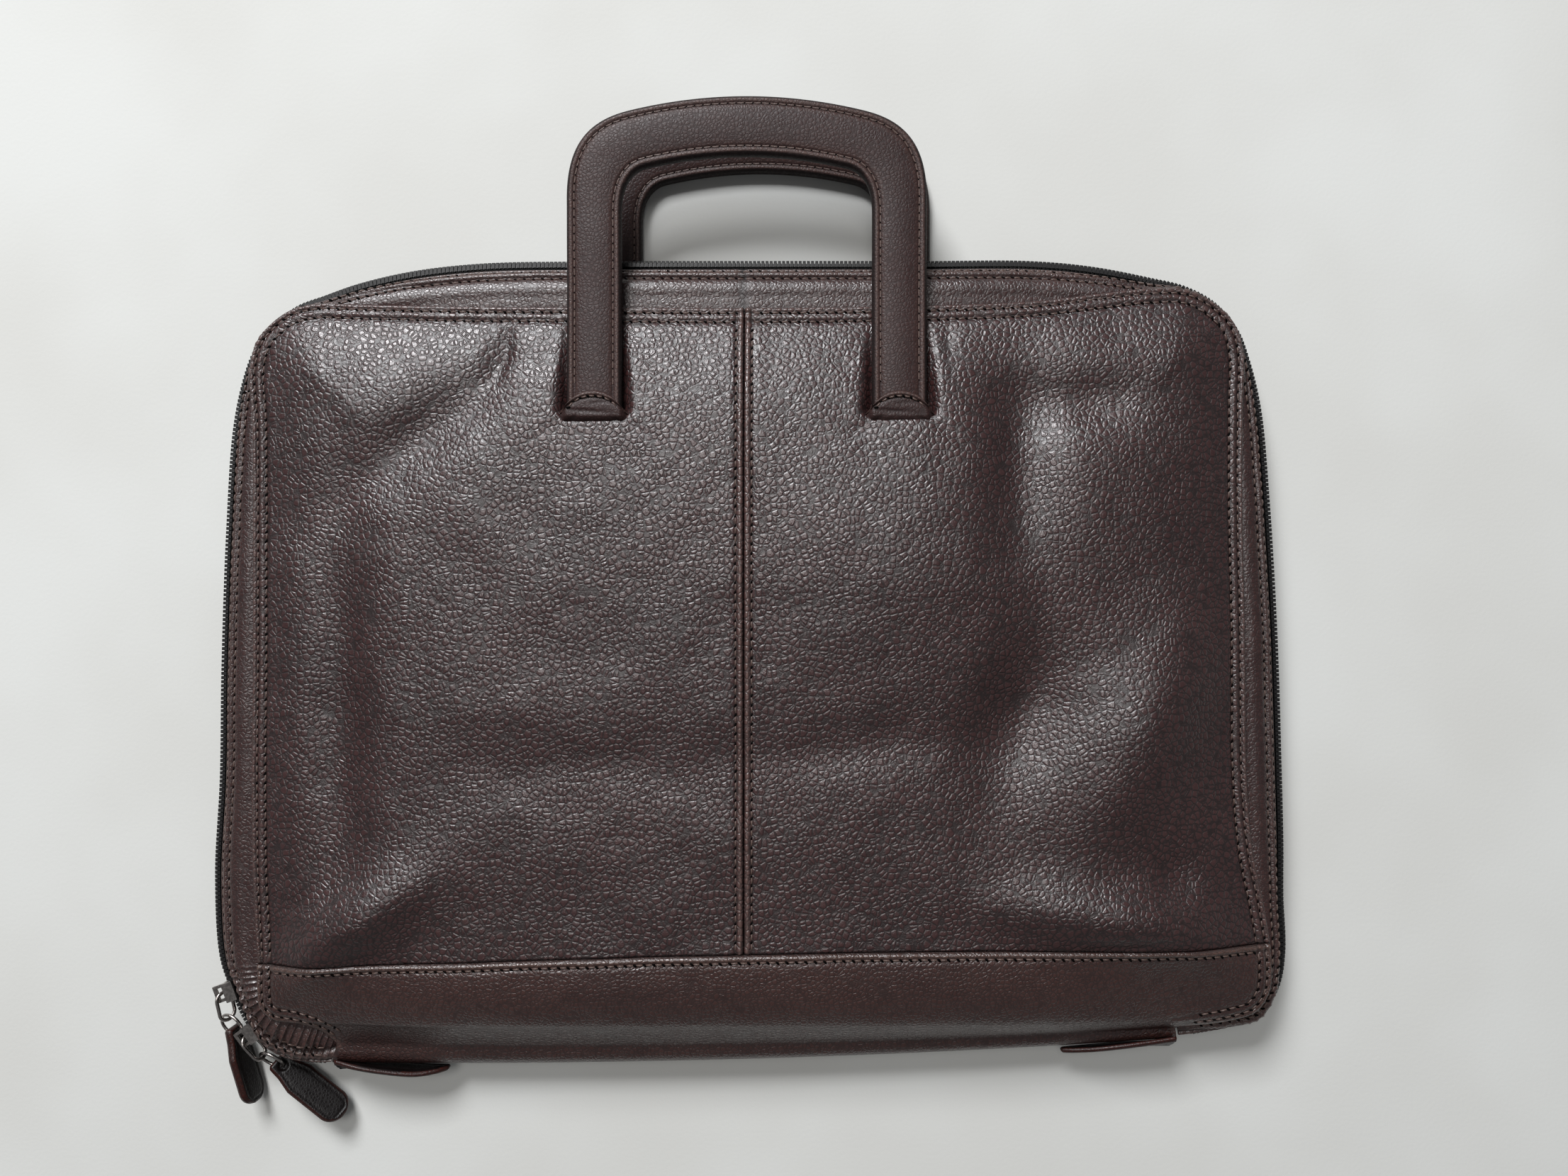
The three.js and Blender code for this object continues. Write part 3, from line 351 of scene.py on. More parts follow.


# %% [markdown]
# Every hide is one closed sheet with a wall: an outer grid of points, a second grid behind
# it and a rim that joins them. Blender's Solidify modifier could add the wall, but doing it
# here keeps the rims clean. Two numbers are stored on each point: how much painted highlight
# it gets on a rim, and how much painted shade it gets in a ditch or crease (on the straps' cut
# edges that number is their real dark edge paint). The leather material reads both.

# %% Grids to meshes
def grid_normals(grid):
    along = np.empty_like(grid)
    across = np.empty_like(grid)
    along[1:-1] = grid[2:] - grid[:-2]
    along[0], along[-1] = grid[1] - grid[0], grid[-1] - grid[-2]
    across[:, 1:-1] = grid[:, 2:] - grid[:, :-2]
    across[:, 0], across[:, -1] = grid[:, 1] - grid[:, 0], grid[:, -1] - grid[:, -2]
    normal = np.cross(along, across)
    return normal / np.maximum(np.linalg.norm(normal, axis=2, keepdims=True), 1e-9)


def quads(rows, columns, shift=0, flip=False, wrap=False):
    i, j = np.meshgrid(np.arange(rows - 1), np.arange(columns if wrap else columns - 1), indexing="ij")
    a = i * columns + j
    b = (i + 1) * columns + j
    c = (i + 1) * columns + (j + 1) % columns
    d = i * columns + (j + 1) % columns
    faces = np.stack([a, b, c, d] if not flip else [a, d, c, b], -1).reshape(-1, 4)
    return faces + shift


def make_object(name, points, faces, material, marks=None, smooth_shade=True):
    mesh = bpy.data.meshes.new(name)
    metres = np.asarray(points).reshape(-1, 3) * MM
    mesh.from_pydata(metres.tolist(), [], [list(map(int, face)) for face in faces])
    for key, values in (marks or {}).items():
        layer = mesh.attributes.new(key, "FLOAT", "POINT")
        layer.data.foreach_set("value", np.asarray(values, np.float32).ravel())
    mesh.polygons.foreach_set("use_smooth", [smooth_shade] * len(mesh.polygons))
    mesh.materials.append(material)
    mesh.update()
    thing = bpy.data.objects.new(name, mesh)
    bpy.context.collection.objects.link(thing)
    return thing


def rim_faces(rows, columns):
    """Faces that join the borders of two grids, the second one stored after the first."""
    shift = rows * columns
    first = np.arange(columns)
    last = (rows - 1) * columns + first
    left = np.arange(rows) * columns
    right = left + columns - 1
    walls = []
    for line in (first, last[::-1], left[::-1], right):
        walls.append(np.stack([line[:-1], line[1:], shift + line[1:], shift + line[:-1]], 1))
    return np.vstack(walls)


def sheet_object(name, outer, inner, material, rim_highlight=0.0, ditch_shade_and_edge_paint=0.0):
    """A closed sheet between two grids. The wall's side is found from the sheet itself."""
    rows, columns = outer.shape[:2]
    below = quads(rows, columns, rows * columns, flip=True)
    faces = np.vstack([quads(rows, columns), below, rim_faces(rows, columns)])
    facing = np.sum(grid_normals(outer) * (outer - inner))
    if facing < 0:
        faces = faces[:, ::-1]
    both = {}
    for key, value in (("rim_highlight", rim_highlight), ("ditch_shade_and_edge_paint", ditch_shade_and_edge_paint)):
        flat = np.broadcast_to(value, (rows, columns)).ravel()
        both[key] = np.concatenate([flat, flat])
    return make_object(name, np.vstack([outer.reshape(-1, 3), inner.reshape(-1, 3)]), faces, material, both)


def graded(length, lead, tail, fine, coarse):
    """Shares from 0 to 1 with fine steps near the ends and coarse ones between."""
    head = np.arange(0, lead, fine)
    middle = np.linspace(lead, length - tail, max(2, int((length - lead - tail) / coarse)))
    back = length - np.arange(0, tail, fine)[::-1]
    return np.unique(np.concatenate([head, middle, back])) / length


# %% [markdown]
# A material in Blender is a graph of nodes. Long graphs are hard to read as node calls, so
# this small class wraps one socket: adding or multiplying sockets in Python adds the Math
# nodes that do it. The same graph could be wired by hand in the shader editor.

# %% Shader maths as expressions
class Wire:
    """One output of a node. Sums and products of wires become nodes of the same tree."""

    def __init__(self, tree, socket=None):
        self.tree = tree
        self.socket = socket

    def node(self, kind, settings=None, inputs=None, output=0):
        made = self.tree.nodes.new(kind)
        for name, value in (settings or {}).items():
            setattr(made, name, value)
        for key, value in (inputs or {}).items():
            if isinstance(value, Wire):
                self.tree.links.new(value.socket, made.inputs[key])
            else:
                made.inputs[key].default_value = value
        return Wire(self.tree, made.outputs[output])

    def math(self, operation, *values):
        if any(isinstance(value, Wire) and value.socket.type == "VECTOR" for value in values):
            return self.node("ShaderNodeVectorMath", {"operation": operation}, dict(enumerate(values)))
        return self.node("ShaderNodeMath", {"operation": operation}, dict(enumerate(values)))

    def __add__(self, other):
        return self.math("ADD", self, other)

    def __radd__(self, other):
        return self.math("ADD", other, self)

    def __sub__(self, other):
        return self.math("SUBTRACT", self, other)

    def __rsub__(self, other):
        return self.math("SUBTRACT", other, self)

    def __mul__(self, other):
        if self.socket.type == "VECTOR" and not isinstance(other, (Wire, tuple)):
            return self.node("ShaderNodeVectorMath", {"operation": "SCALE"}, {0: self, 3: other})
        return self.math("MULTIPLY", self, other)

    def __rmul__(self, other):
        return self * other

    def clamp(self):
        return self.node("ShaderNodeClamp", None, {"Value": self})

    def span(self, low, high, to_low=0.0, to_high=1.0):
        """Stretch the values between low and high to a new span, and clamp outside it."""
        ends = {"Value": self, "From Min": low, "From Max": high, "To Min": to_low, "To Max": to_high}
        return self.node("ShaderNodeMapRange", {"interpolation_type": "SMOOTHSTEP"}, ends)

    def blend(self, low, high):
        """Colour between low and high; this wire is the share of high."""
        return self.node("ShaderNodeMix", {"data_type": "RGBA"}, {0: self, 6: low, 7: high}, 2)

    def noise(self, cell, detail=2.0, roughness=0.5):
        sockets = {"Vector": self, "Scale": 1 / (cell * MM), "Detail": detail, "Roughness": roughness}
        return self.node("ShaderNodeTexNoise", None, sockets)

    def cells(self, cell, feature="DISTANCE_TO_EDGE"):
        sockets = {"Vector": self, "Scale": 1 / (cell * MM)}
        return self.node("ShaderNodeTexVoronoi", {"feature": feature}, sockets)


def colour(red, green, blue):
    """A colour given as 0 to 255, as a screen shows it, turned to linear light."""
    linear = []
    for part in (red / 255, green / 255, blue / 255):
        linear.append(part / 12.92 if part <= 0.04045 else ((part + 0.055) / 1.055) ** 2.4)
    return (*linear, 1.0)


def material(name, build):
    """Make a material. build gets a wire of the place on the object and returns sockets."""
    made = bpy.data.materials.new(name)
    made.use_nodes = True
    tree = made.node_tree
    shader = tree.nodes["Principled BSDF"]
    place = Wire(tree).node("ShaderNodeTexCoord", output=3)
    for key, value in build(place).items():
        if isinstance(value, Wire):
            tree.links.new(value.socket, shader.inputs[key])
        else:
            shader.inputs[key].default_value = value
    return made


def painted(place, name):
    """The number that was stored on the mesh under this name."""
    return place.node("ShaderNodeAttribute", {"attribute_name": name}, output=2)


def bump(place, height, millimetres):
    sockets = {"Height": height, "Distance": millimetres * MM, "Strength": 1.0}
    return place.node("ShaderNodeBump", None, sockets)


# %% [markdown]
# Pebbled leather gets its grain by pressing and tumbling: rounded islands with thin valleys
# between them. A cell texture gives the distance to the nearest border of a cell, which is
# just such a valley. The tops are rubbed smoother than the valleys, and the valleys are
# darkened with painted shade. Rims get a painted highlight, ditches and creases painted shade.

# %% Leather materials
def leather(dark, light, highlight_colour, cell, height, roughness, valley_shade=0.6, shine=0.8):
    def build(place):
        drift = place.node("ShaderNodeTexNoise", None, {"Vector": place, "Scale": 1 / (2.5 * cell * MM)}, 1)
        warped = place + drift * (0.5 * cell * MM)
        island = warped.cells(cell).span(0.0, 0.24)
        small = warped.cells(cell * 0.5).span(0.0, 0.3)
        fine = place.noise(cell * 0.2, 3.0)
        dome = 1 - warped.cells(cell, "F1").span(0.0, 0.75)
        grain = island * 0.52 + small * 0.12 + fine * 0.06 + dome * 0.3
        patches = place.noise(34.0, 3.0).span(0.3, 0.7)
        mottled = place.noise(5.5, 4.0).span(0.25, 0.75)
        rim_highlight = painted(place, "rim_highlight").clamp()
        ditch_shade_and_edge_paint = painted(place, "ditch_shade_and_edge_paint").clamp()
        tone = (patches * 0.4 + mottled * 0.3 + small * 0.3).clamp()
        skin = tone.blend(dark, light)
        # painted shade: the grain's valleys are blended towards near black
        skin = ((1 - island) * valley_shade).blend(skin, colour(15, 9, 9))
        # painted highlight: rims, fold crests and cut edges are blended towards a lighter colour
        skin = (rim_highlight * (0.35 + grain * 0.65)).blend(skin, highlight_colour)
        # painted shade in ditches, seam gaps and creases; on the straps' cut edges the same number gives
        # their real dark edge paint
        skin = (ditch_shade_and_edge_paint * 0.9).blend(skin, colour(11, 7, 7))
        return {
            "Base Color": skin,
            "Roughness": (mottled * 0.08 + (roughness + 0.12) - grain * 0.16 + ditch_shade_and_edge_paint * 0.2).clamp(),
            "Normal": bump(place, grain, height),
            "Specular IOR Level": shine,
        }
    return build


# each leather: dark and light tone, painted rim highlight colour, grain size, bump height, roughness,
# painted valley shade, shine
PEBBLED = material("pebbled_leather", leather(
    colour(50, 28, 28), colour(67, 41, 40), colour(104, 80, 74), 2.1, 0.22, 0.29, 0.8, 0.85))
STRIP_LEATHER = material("gusset_leather", leather(
    colour(50, 29, 28), colour(66, 42, 39), colour(106, 84, 77), 1.5, 0.12, 0.28, 0.5, 0.8))
BAND_LEATHER = material("smooth_leather", leather(
    colour(54, 31, 28), colour(70, 43, 38), colour(108, 84, 74), 1.6, 0.17, 0.27, 0.5, 0.9))
STRAP_LEATHER = material("strap_leather", leather(
    colour(47, 30, 29), colour(61, 41, 39), colour(104, 82, 75), 1.3, 0.08, 0.36, 0.4, 0.32))
DARK_LEATHER = material("dark_leather", leather(
    colour(7, 4, 4), colour(14, 8, 8), colour(62, 27, 21), 1.1, 0.05, 0.3, 0.2, 0.35))


# %% [markdown]
# The rest needs simpler finishes: a woven zip tape, moulded nylon teeth, waxed thread,
# scuffed silver-coloured metal, painted shade for the inside of a needle hole and a painted table.

# %% Nylon, thread, metal and floor
def woven(place):
    along = place.node("ShaderNodeTexWave", {"wave_type": "BANDS", "bands_direction": "DIAGONAL"},
                       {"Vector": place, "Scale": 260.0, "Distortion": 1.5})
    return {"Base Color": along.blend(colour(10, 9, 10), colour(26, 24, 26)), "Roughness": 0.85,
            "Normal": bump(place, along, 0.15)}


def moulded(place):
    speck = place.noise(0.8, 2.0)
    return {"Base Color": speck.blend(colour(8, 7, 8), colour(24, 22, 23)), "Roughness": 0.42}


def thread(place):
    strand = place.noise(0.35, 1.0)
    return {"Base Color": strand.blend(colour(52, 36, 32), colour(112, 92, 84)), "Roughness": 0.45,
            "Normal": bump(place, strand, 0.1)}


def silvery(place):
    scuffs = place.noise(1.1, 4.0, 0.7)
    return {"Base Color": scuffs.blend(colour(150, 142, 138), colour(190, 184, 180)), "Metallic": 1.0,
            "Roughness": scuffs.span(0.3, 0.7, 0.2, 0.38)}


def painted_floor(place):
    cloudy = place.noise(120.0, 3.0)
    speck = place.noise(1.4, 2.0)
    return {"Base Color": cloudy.span(0.3, 0.7).blend(colour(213, 213, 209), colour(220, 221, 218)),
            "Roughness": 0.9, "Specular IOR Level": 0.2, "Normal": bump(place, speck, 0.04)}


def needle_hole(place):
    # painted shade: the inside of a needle hole is coloured near black
    speck = place.noise(1.0, 1.0)
    return {"Base Color": speck.blend(colour(5, 3, 3), colour(9, 6, 6)), "Roughness": 0.9,
            "Specular IOR Level": 0.1}


NYLON_TAPE = material("zip_tape_weave", woven)
NYLON_TEETH = material("zip_teeth_nylon", moulded)
THREAD = material("sewing_thread", thread)
HOLE_SHADE = material("needle_hole_shade", needle_hole)
SILVER = material("silver_metal", silvery)
FLOOR = material("painted_floor", painted_floor)
print("materials:", len(bpy.data.materials))

# %% [markdown]
# The two front panels fill the space between the middle seam, the band and the outline. A
# Coons patch does that: it blends four edge curves into one grid. A subdivided plane would
# do too, but its corners would have to be fitted by hand. The turned edge, the ditches of
# the two rows of stitches and the middle seam are then pressed into the grid.

# %% Front panels
def patch(bottom, top, left, right, across, along):
    """Grid between four edges; each edge is a function of shares and returns points."""
    u, v = across[None, :, None], along[:, None, None]
    low, high = bottom(across)[None], top(across)[None]
    west, east = left(along)[:, None], right(along)[:, None]
    ends = np.array([0.0, 1.0])
    corner = np.vstack([bottom(ends), top(ends)])
    grid = low * (1 - v) + high * v + west * (1 - u) + east * u
    low_corners = (1 - u) * (1 - v) * corner[0] + u * (1 - v) * corner[1]
    return grid - (low_corners + (1 - u) * v * corner[2] + u * v * corner[3])


def straight(start, end):
    return lambda shares: start + (end - start) * np.asarray(shares)[:, None]


def outline_edge(from_row, to_row, axis, flat=False):
    """Edge along the outline between two rows, spread evenly in x or in y."""
    start, end = spline(SEAM, [from_row, to_row])[:, axis]
    low, high = min(from_row, to_row), max(from_row, to_row)

    def edge(shares):
        shares = np.asarray(shares, float)
        rows = rows_where(axis, mix(start, end, shares), low, high)
        rows = np.where(shares <= 0, from_row, np.where(shares >= 1, to_row, rows))
        points = spline(SEAM, rows)
        points[:, 2] *= 0 if flat else 1
        return points
    return edge


def dress_front(grid, distance, seam_gap):
    """Height, painted rim highlight and painted ditch shade of the front: folds, turned edge and the middle
    seam.
    """
    x, y = grid[..., 0], grid[..., 1]
    plain = soft_min(grid[..., 2] + relief(x, y, distance), seat_ceiling(x, y), SEAT_BLEND)
    height = plain + profile(TURNED_EDGE, distance) + profile(MIDDLE_SEAM, seam_gap)
    # painted highlight on the turned edge's rim, on the pad between the rows and beside the middle seam
    rim_highlight = 0.6 * soft_band(distance, 1.1, 0.7) + 0.3 * soft_band(distance, 4.1, 0.9)
    rim_highlight = rim_highlight + 0.9 * soft_band(seam_gap, 1.3, 0.7)
    # painted shade in the ditches of the stitch rows and in the middle seam's groove
    ditch_shade_and_edge_paint = sum(0.3 * soft_band(distance, row, 0.4) for row in EDGE_ROWS)
    ditch_shade_and_edge_paint = ditch_shade_and_edge_paint + 0.4 * soft_band(seam_gap, 0, 0.25) + 0.3 * soft_band(seam_gap, SEAM_ROWS, 0.4)
    return height, rim_highlight, ditch_shade_and_edge_paint


def arched(start, end):
    """Low edge of a panel: it follows the band's folded edge."""
    def edge(shares):
        points = straight(start, end)(shares)
        at_ends = mix(band_arch(start[0]), band_arch(end[0]), np.asarray(shares))
        points[:, 1] += band_arch(points[:, 0]) - at_ends
        return points
    return edge


def front_panel(side):
    inner_x = SEAM_X + side * GAP / 2
    top_row = rows_where(0, [inner_x], TOP_MIDDLE - 1, TOP_MIDDLE + 1)[0]
    side_row = band_corner(side, GAP / 2)
    corner_row = CORNER_LEFT if side < 0 else CORNER_RIGHT
    side_low, top_point = spline(SEAM, [side_row, top_row])
    middle_low = np.array([inner_x, folded_edge_y(inner_x) + GAP / 2, SEAM_HEIGHT])
    middle = straight(middle_low, top_point)
    outer = outline_edge(side_row, corner_row, 1)
    along = graded(240, 3, 8, 0.7, 1.75)
    if side < 0:
        across = graded(180, 8, 5, 0.45, 1.75)
        low, top = arched(side_low, middle_low), outline_edge(corner_row, top_row, 0)
        grid = patch(low, top, outer, middle, across, along)
    else:
        across = graded(180, 5, 8, 0.45, 1.75)
        low, top = arched(middle_low, side_low), outline_edge(top_row, corner_row, 0)
        grid = patch(low, top, middle, outer, across, along)
    distance = seam_distance(grid[..., 0], grid[..., 1])
    height, rim_highlight, ditch_shade_and_edge_paint = dress_front(grid, distance, np.abs(grid[..., 0] - SEAM_X))
    grid[..., 2] = height
    inner = grid - [0, 0, WALL]
    name = "left" if side < 0 else "right"
    made = sheet_object(f"panel_{name}", grid, inner, PEBBLED, rim_highlight, ditch_shade_and_edge_paint)
    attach(made, "root")
    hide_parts(f"front_panel_{name}")
    return made


panels = [front_panel(-1), front_panel(1)]
print("panel points:", [len(panel.data.vertices) for panel in panels])

# %% [markdown]
# The bottom band is one strip of smoother leather. It is sewn to the front, runs round the
# bottom fold and is sewn to the back, so it is drawn as a sheet ruled between two bent
# end edges. Its upper edge is folded over and stands a little above the panels.

# %% Bottom band
FOLD_START = 0.42
FRONT_SHARE = 0.46


def band_end(from_row, end_row):
    front = spline(SEAM, [end_row])[0]
    back = front * [1, 1, 0]
    fold = spline(ZIP, [end_row])[0]
    centre = (front + back) / 2

    def edge(shares):
        shares = np.asarray(shares, float)
        down = np.clip(shares / FOLD_START, 0, 1)
        up = np.clip((shares - 1 + FOLD_START) / FOLD_START, 0, 1)
        upper = spline(SEAM, mix(from_row, end_row, down))
        lower = spline(SEAM, mix(end_row, from_row, up)) * [1, 1, 0]
        share = shares[:, None]
        angle = np.pi * (share - FOLD_START) / (1 - 2 * FOLD_START)
        turned = centre + (front - centre) * np.cos(angle) + (fold - centre) * np.sin(angle)
        return np.where(share <= FOLD_START, upper, np.where(share >= 1 - FOLD_START, lower, turned))
    return edge


band_left = band_end(band_corner(-1, -GAP / 2), 0)
band_right = band_end(band_corner(1, -GAP / 2), LAST_ROW)


def band_grid(along, shares):
    """Points of the band: along says how far down the sheet, shares how far to the right."""
    left, right = band_left(along)[:, None], band_right(along)[:, None]
    grid = left + (right - left) * shares[None, :, None]
    grid[..., 1] -= BAND_BOW * np.sin(np.pi * along)[:, None] * 4 * (shares * (1 - shares))[None]
    weight = (np.cos(np.pi / 2 * np.minimum(1, 2 * along)) ** 2)[:, None]
    grid[..., 1] += band_arch(grid[..., 0]) * weight
    x, y = grid[..., 0], grid[..., 1]
    distance = seam_distance(x, y)
    raised = soft_min(grid[..., 2] + relief(x, y, distance) * weight, seat_ceiling(x, y), SEAT_BLEND)
    raised = raised + BAND_RAISE * weight * smooth(distance / 6)
    grid[..., 2] = np.where((along < 0.5)[:, None], raised, grid[..., 2])
    return grid, distance, weight


def bottom_band():
    along = np.concatenate([graded(50, 5, 0.5, 0.4, 1.1) * FRONT_SHARE,
                            np.linspace(0.466, 0.56, 16), np.linspace(0.58, 1, 16)])
    shares = graded(380, 8, 8, 0.6, 2.0)
    grid, distance, weight = band_grid(along, shares)
    front = (along < FRONT_SHARE)[:, None]
    from_fold = np.cumsum(np.linalg.norm(np.diff(grid, axis=0, prepend=grid[:1]), axis=2), axis=0)
    shape = profile(FOLDED_EDGE, from_fold) + np.where(front, profile(TURNED_EDGE, distance), 0) * weight
    grid[..., 2] += np.where(front, shape, 0)
    inner = grid - grid_normals(grid) * WALL
    if np.mean(inner[:5, :, 2] - grid[:5, :, 2]) > 0:
        inner = 2 * grid - inner
    inner[0] = grid[0] - [0, 0, WALL]
    inner[-1] = grid[-1] + [0, 0, WALL]
    # painted highlight on the band's folded edge and on the turned edge of the front
    rim_highlight = np.where(front, 0.55 * soft_band(from_fold, 1.2, 0.8) + 0.4 * soft_band(distance, 1.1, 0.8), 0)
    # painted shade in the fold row's ditch, along the folded edge and in the stitch ditches
    ditch_shade_and_edge_paint = 0.45 * soft_band(from_fold, FOLD_ROW, 0.35) + 0.6 * soft_band(from_fold, 0, 0.3)
    ditch_shade_and_edge_paint = ditch_shade_and_edge_paint + np.where(front, sum(0.4 * soft_band(distance, row, 0.35) for row in EDGE_ROWS), 0)
    made = sheet_object("band_sheet", grid, inner, BAND_LEATHER, rim_highlight, ditch_shade_and_edge_paint)
    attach(made, "root")
    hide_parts("bottom_band")
    return made


band = bottom_band()
print("band points:", len(band.data.vertices))

# %% [markdown]
# The back can't be seen in the photograph, so it is one plain hide. It isn't quite flat:
# the rear handle lies under it at the top and lifts it off the table there.

# %% Back panel
BACK_LIFT = 8.7
LIFT_START = 60.0
LIFT_RUN = 26.0
LIFT_HALF = 74.0
LIFT_FADE = 30.0


def back_height(x, y):
    """The legs of the rear handle raise the back panel off the table."""
    rise = smooth((y - LIFT_START) / LIFT_RUN)
    return BACK_LIFT * rise * (1 - smooth((np.abs(x - REAR_X) - LIFT_HALF) / LIFT_FADE))


def back_panel():
    left_row, right_row = band_corner(-1, GAP / 2), band_corner(1, GAP / 2)
    left = outline_edge(left_row, CORNER_LEFT, 1, True)
    right = outline_edge(right_row, CORNER_RIGHT, 1, True)
    low = spline(SEAM, [left_row, right_row]) * [1, 1, 0]
    top = outline_edge(CORNER_LEFT, CORNER_RIGHT, 0, True)
    across, along = np.linspace(0, 1, 121), np.linspace(0, 1, 81)
    grid = patch(straight(low[0], low[1]), top, left, right, across, along)
    grid[..., 2] = back_height(grid[..., 0], grid[..., 1])
    made = sheet_object("back_sheet", grid, grid + [0, 0, WALL], PEBBLED)
    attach(made, "root")
    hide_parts("back_panel")
    return made


print("back points:", len(back_panel().data.vertices))

# %% [markdown]
# The gusset is the strip between the panels and the zip. It is soft, so it rolls outward,
# and at the corners its spare leather gathers into short folds across the strip. Each
# cross section stands on the outline, square to the zip.

# %% Gusset strips
STRIP_WALL = 1.6
TUCK = 2.5
COIL_REVEAL = 3.8
LIP_HALF = 4.5
COIL_DEPTH = 2.4
COIL_HEIGHT = 5.0
JOINT_X = -2.9
GATHERS = ((3.0, 2.6, 1.0), (14.0, 2.2, 0.4), (27.0, 2.2, 0.35), (38.0, 1.8, 0.5))
STATION_ROWS = np.concatenate([np.arange(0.06, 6, 0.022), np.arange(6, 12, 0.04), np.arange(12, 17, 0.03),
                               np.arange(17, 25, 0.035), np.arange(25, 30, 0.03), np.arange(30, 36, 0.04),
                               np.arange(36, LAST_ROW - 0.05, 0.03)])


def stations(rows):
    """Sections along the outline: the seam, the direction outwards and the width."""
    seam, zip_line = spline(SEAM, rows), spline(ZIP, rows)
    out = (zip_line - seam) * [1, 1, 0]
    width = np.linalg.norm(out, axis=1)
    return seam, out / width[:, None], width, zip_line[:, 2]


def strip_grid(rows, is_front):
    """Grid of one strip, its distance to the outer edge, and a share across."""
    seam, out, width, zip_z = stations(rows)
    ease = np.where(back_height(seam[:, 0], seam[:, 1]) > GAP, 0.8, 0.0)
    if is_front:
        start_z, end_z = seam[:, 2] - WALL - GAP, zip_z + LIP_HALF
    else:
        start_z, end_z = back_height(seam[:, 0], seam[:, 1]) + WALL + GAP + ease, zip_z - LIP_HALF
    start = np.stack([np.full(len(rows), -TUCK), start_z], 1)
    end = np.stack([width - COIL_REVEAL, end_z], 1)
    bend = np.stack([mix(start[:, 0], end[:, 0], 0.75), mix(start_z, end_z, 0.06)], 1)
    share = graded(16, 0.5, 6, 0.4, 0.7)[None, :, None]
    section = start[:, None] * (1 - share) ** 2 + 2 * bend[:, None] * share * (1 - share)
    section = section + end[:, None] * share ** 2
    grid = seam[:, None] * [1, 1, 0] + out[:, None] * section[..., :1] + section[..., 1:] * [0, 0, 1]
    steps = np.linalg.norm(np.diff(grid, axis=1), axis=2)
    run = np.concatenate([np.zeros((len(rows), 1)), np.cumsum(steps, axis=1)], axis=1)
    return grid, run[:, -1:] - run, share[0, :, 0]


EDGE_OF_STRIP = np.array([
    [0, -0.9], [0.25, -0.25], [0.6, 0.15], [0.95, 0.05], [1.3, -0.5], [1.75, 0.1], [2.6, 0.5],
    [3.5, 0.4], [4.0, -0.2], [4.5, -1.0], [5.0, -0.2], [6.4, 0.6], [8, 0.8], [10, 0.75], [12, 0.2],
])
OVERHANGS = ((1.2, 2.6, 2.7), (39.0, 2.4, 2.4))


def plan_run(rows):
    """How far each row is along the turned edge, in plan."""
    steps = np.diff(spline(SEAM, rows)[:, :2], axis=0)
    return np.concatenate([[0], np.cumsum(np.linalg.norm(steps, axis=1))])


def gusset_strip(is_front):
    rows = STATION_ROWS
    grid, distance, share = strip_grid(rows, is_front)
    normal = grid_normals(grid)
    if (np.mean(normal[..., 2]) > 0) != is_front:
        normal = -normal
    inner = grid - normal * STRIP_WALL
    run = plan_run(rows)
    roll = 0.5 * np.sin(np.pi * np.clip(share, 0, 1)) ** 1.5
    gather = sum(size * np.exp(-(((rows - row) / reach) ** 4)) for row, reach, size in GATHERS)
    phase = run * 1.25 + 2.6 * soft_noise(run, run * 0, 7, 11)
    waves = 1 - 2.2 * np.abs(np.sin(phase)) ** 0.6 + 0.5 * np.sin(run * 0.55 + 1.0)
    ripple = 0.3 * soft_noise(run, run * 0 + 9, 13, 13) + gather * 0.62 * waves
    across = np.sin(np.pi * np.clip(share * 1.04, 0, 1)) ** 0.7
    joint = np.abs(grid[..., 0] - JOINT_X) + np.where(grid[..., 1] > 100, 0, 99)
    shape = profile(EDGE_OF_STRIP, distance) + roll[None] + ripple[:, None] * across[None]
    shape = shape + profile(MIDDLE_SEAM, joint) * 0.8
    outer = grid + normal * (shape * smooth(share * 6)[None])[..., None]
    hang = sum(size * np.exp(-(((rows - row) / reach) ** 4)) for row, reach, size in OVERHANGS)
    push = stations(rows)[1][:, None] * (hang[:, None] * smooth(share * 1.2 - 0.1)[None])[..., None]
    outer, inner = outer + push, inner + push
    # painted highlight on the strip's rims and on the crests of its gathers
    rim_highlight = 0.55 * soft_band(distance, 0.6, 0.5) + 0.35 * soft_band(distance, 2.8, 1.0)
    rim_highlight = rim_highlight + 0.25 * gather[:, None] * across
    # painted shade in the stitch ditches and in the strip's joint
    ditch_shade_and_edge_paint = 0.4 * soft_band(distance, 1.3, 0.3) + 0.4 * soft_band(distance, 4.5, 0.3)
    ditch_shade_and_edge_paint = ditch_shade_and_edge_paint + 0.8 * soft_band(joint, 0, 0.4)
    name = "front" if is_front else "back"
    made = sheet_object(f"gusset_{name}", outer, inner, STRIP_LEATHER, rim_highlight, ditch_shade_and_edge_paint)
    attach(made, "root")
    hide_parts(f"gusset_{name}_strip")
    return made


gussets = [gusset_strip(True), gusset_strip(False)]
print("gusset points:", len(gussets[0].data.vertices))

# %% [markdown]
# A coil zip is two rows of nylon loops sewn to a woven tape. Seen from above only the
# loops' sides show, as small dark steps. Each loop is a little seven-sided block here, set
# at the real pitch along the zip. An array modifier on a curve would space them the same
# way, but it would also bend them.

# %% Zip tape and teeth
TOOTH_PITCH = 1.55
TAPE_WALL = 0.9


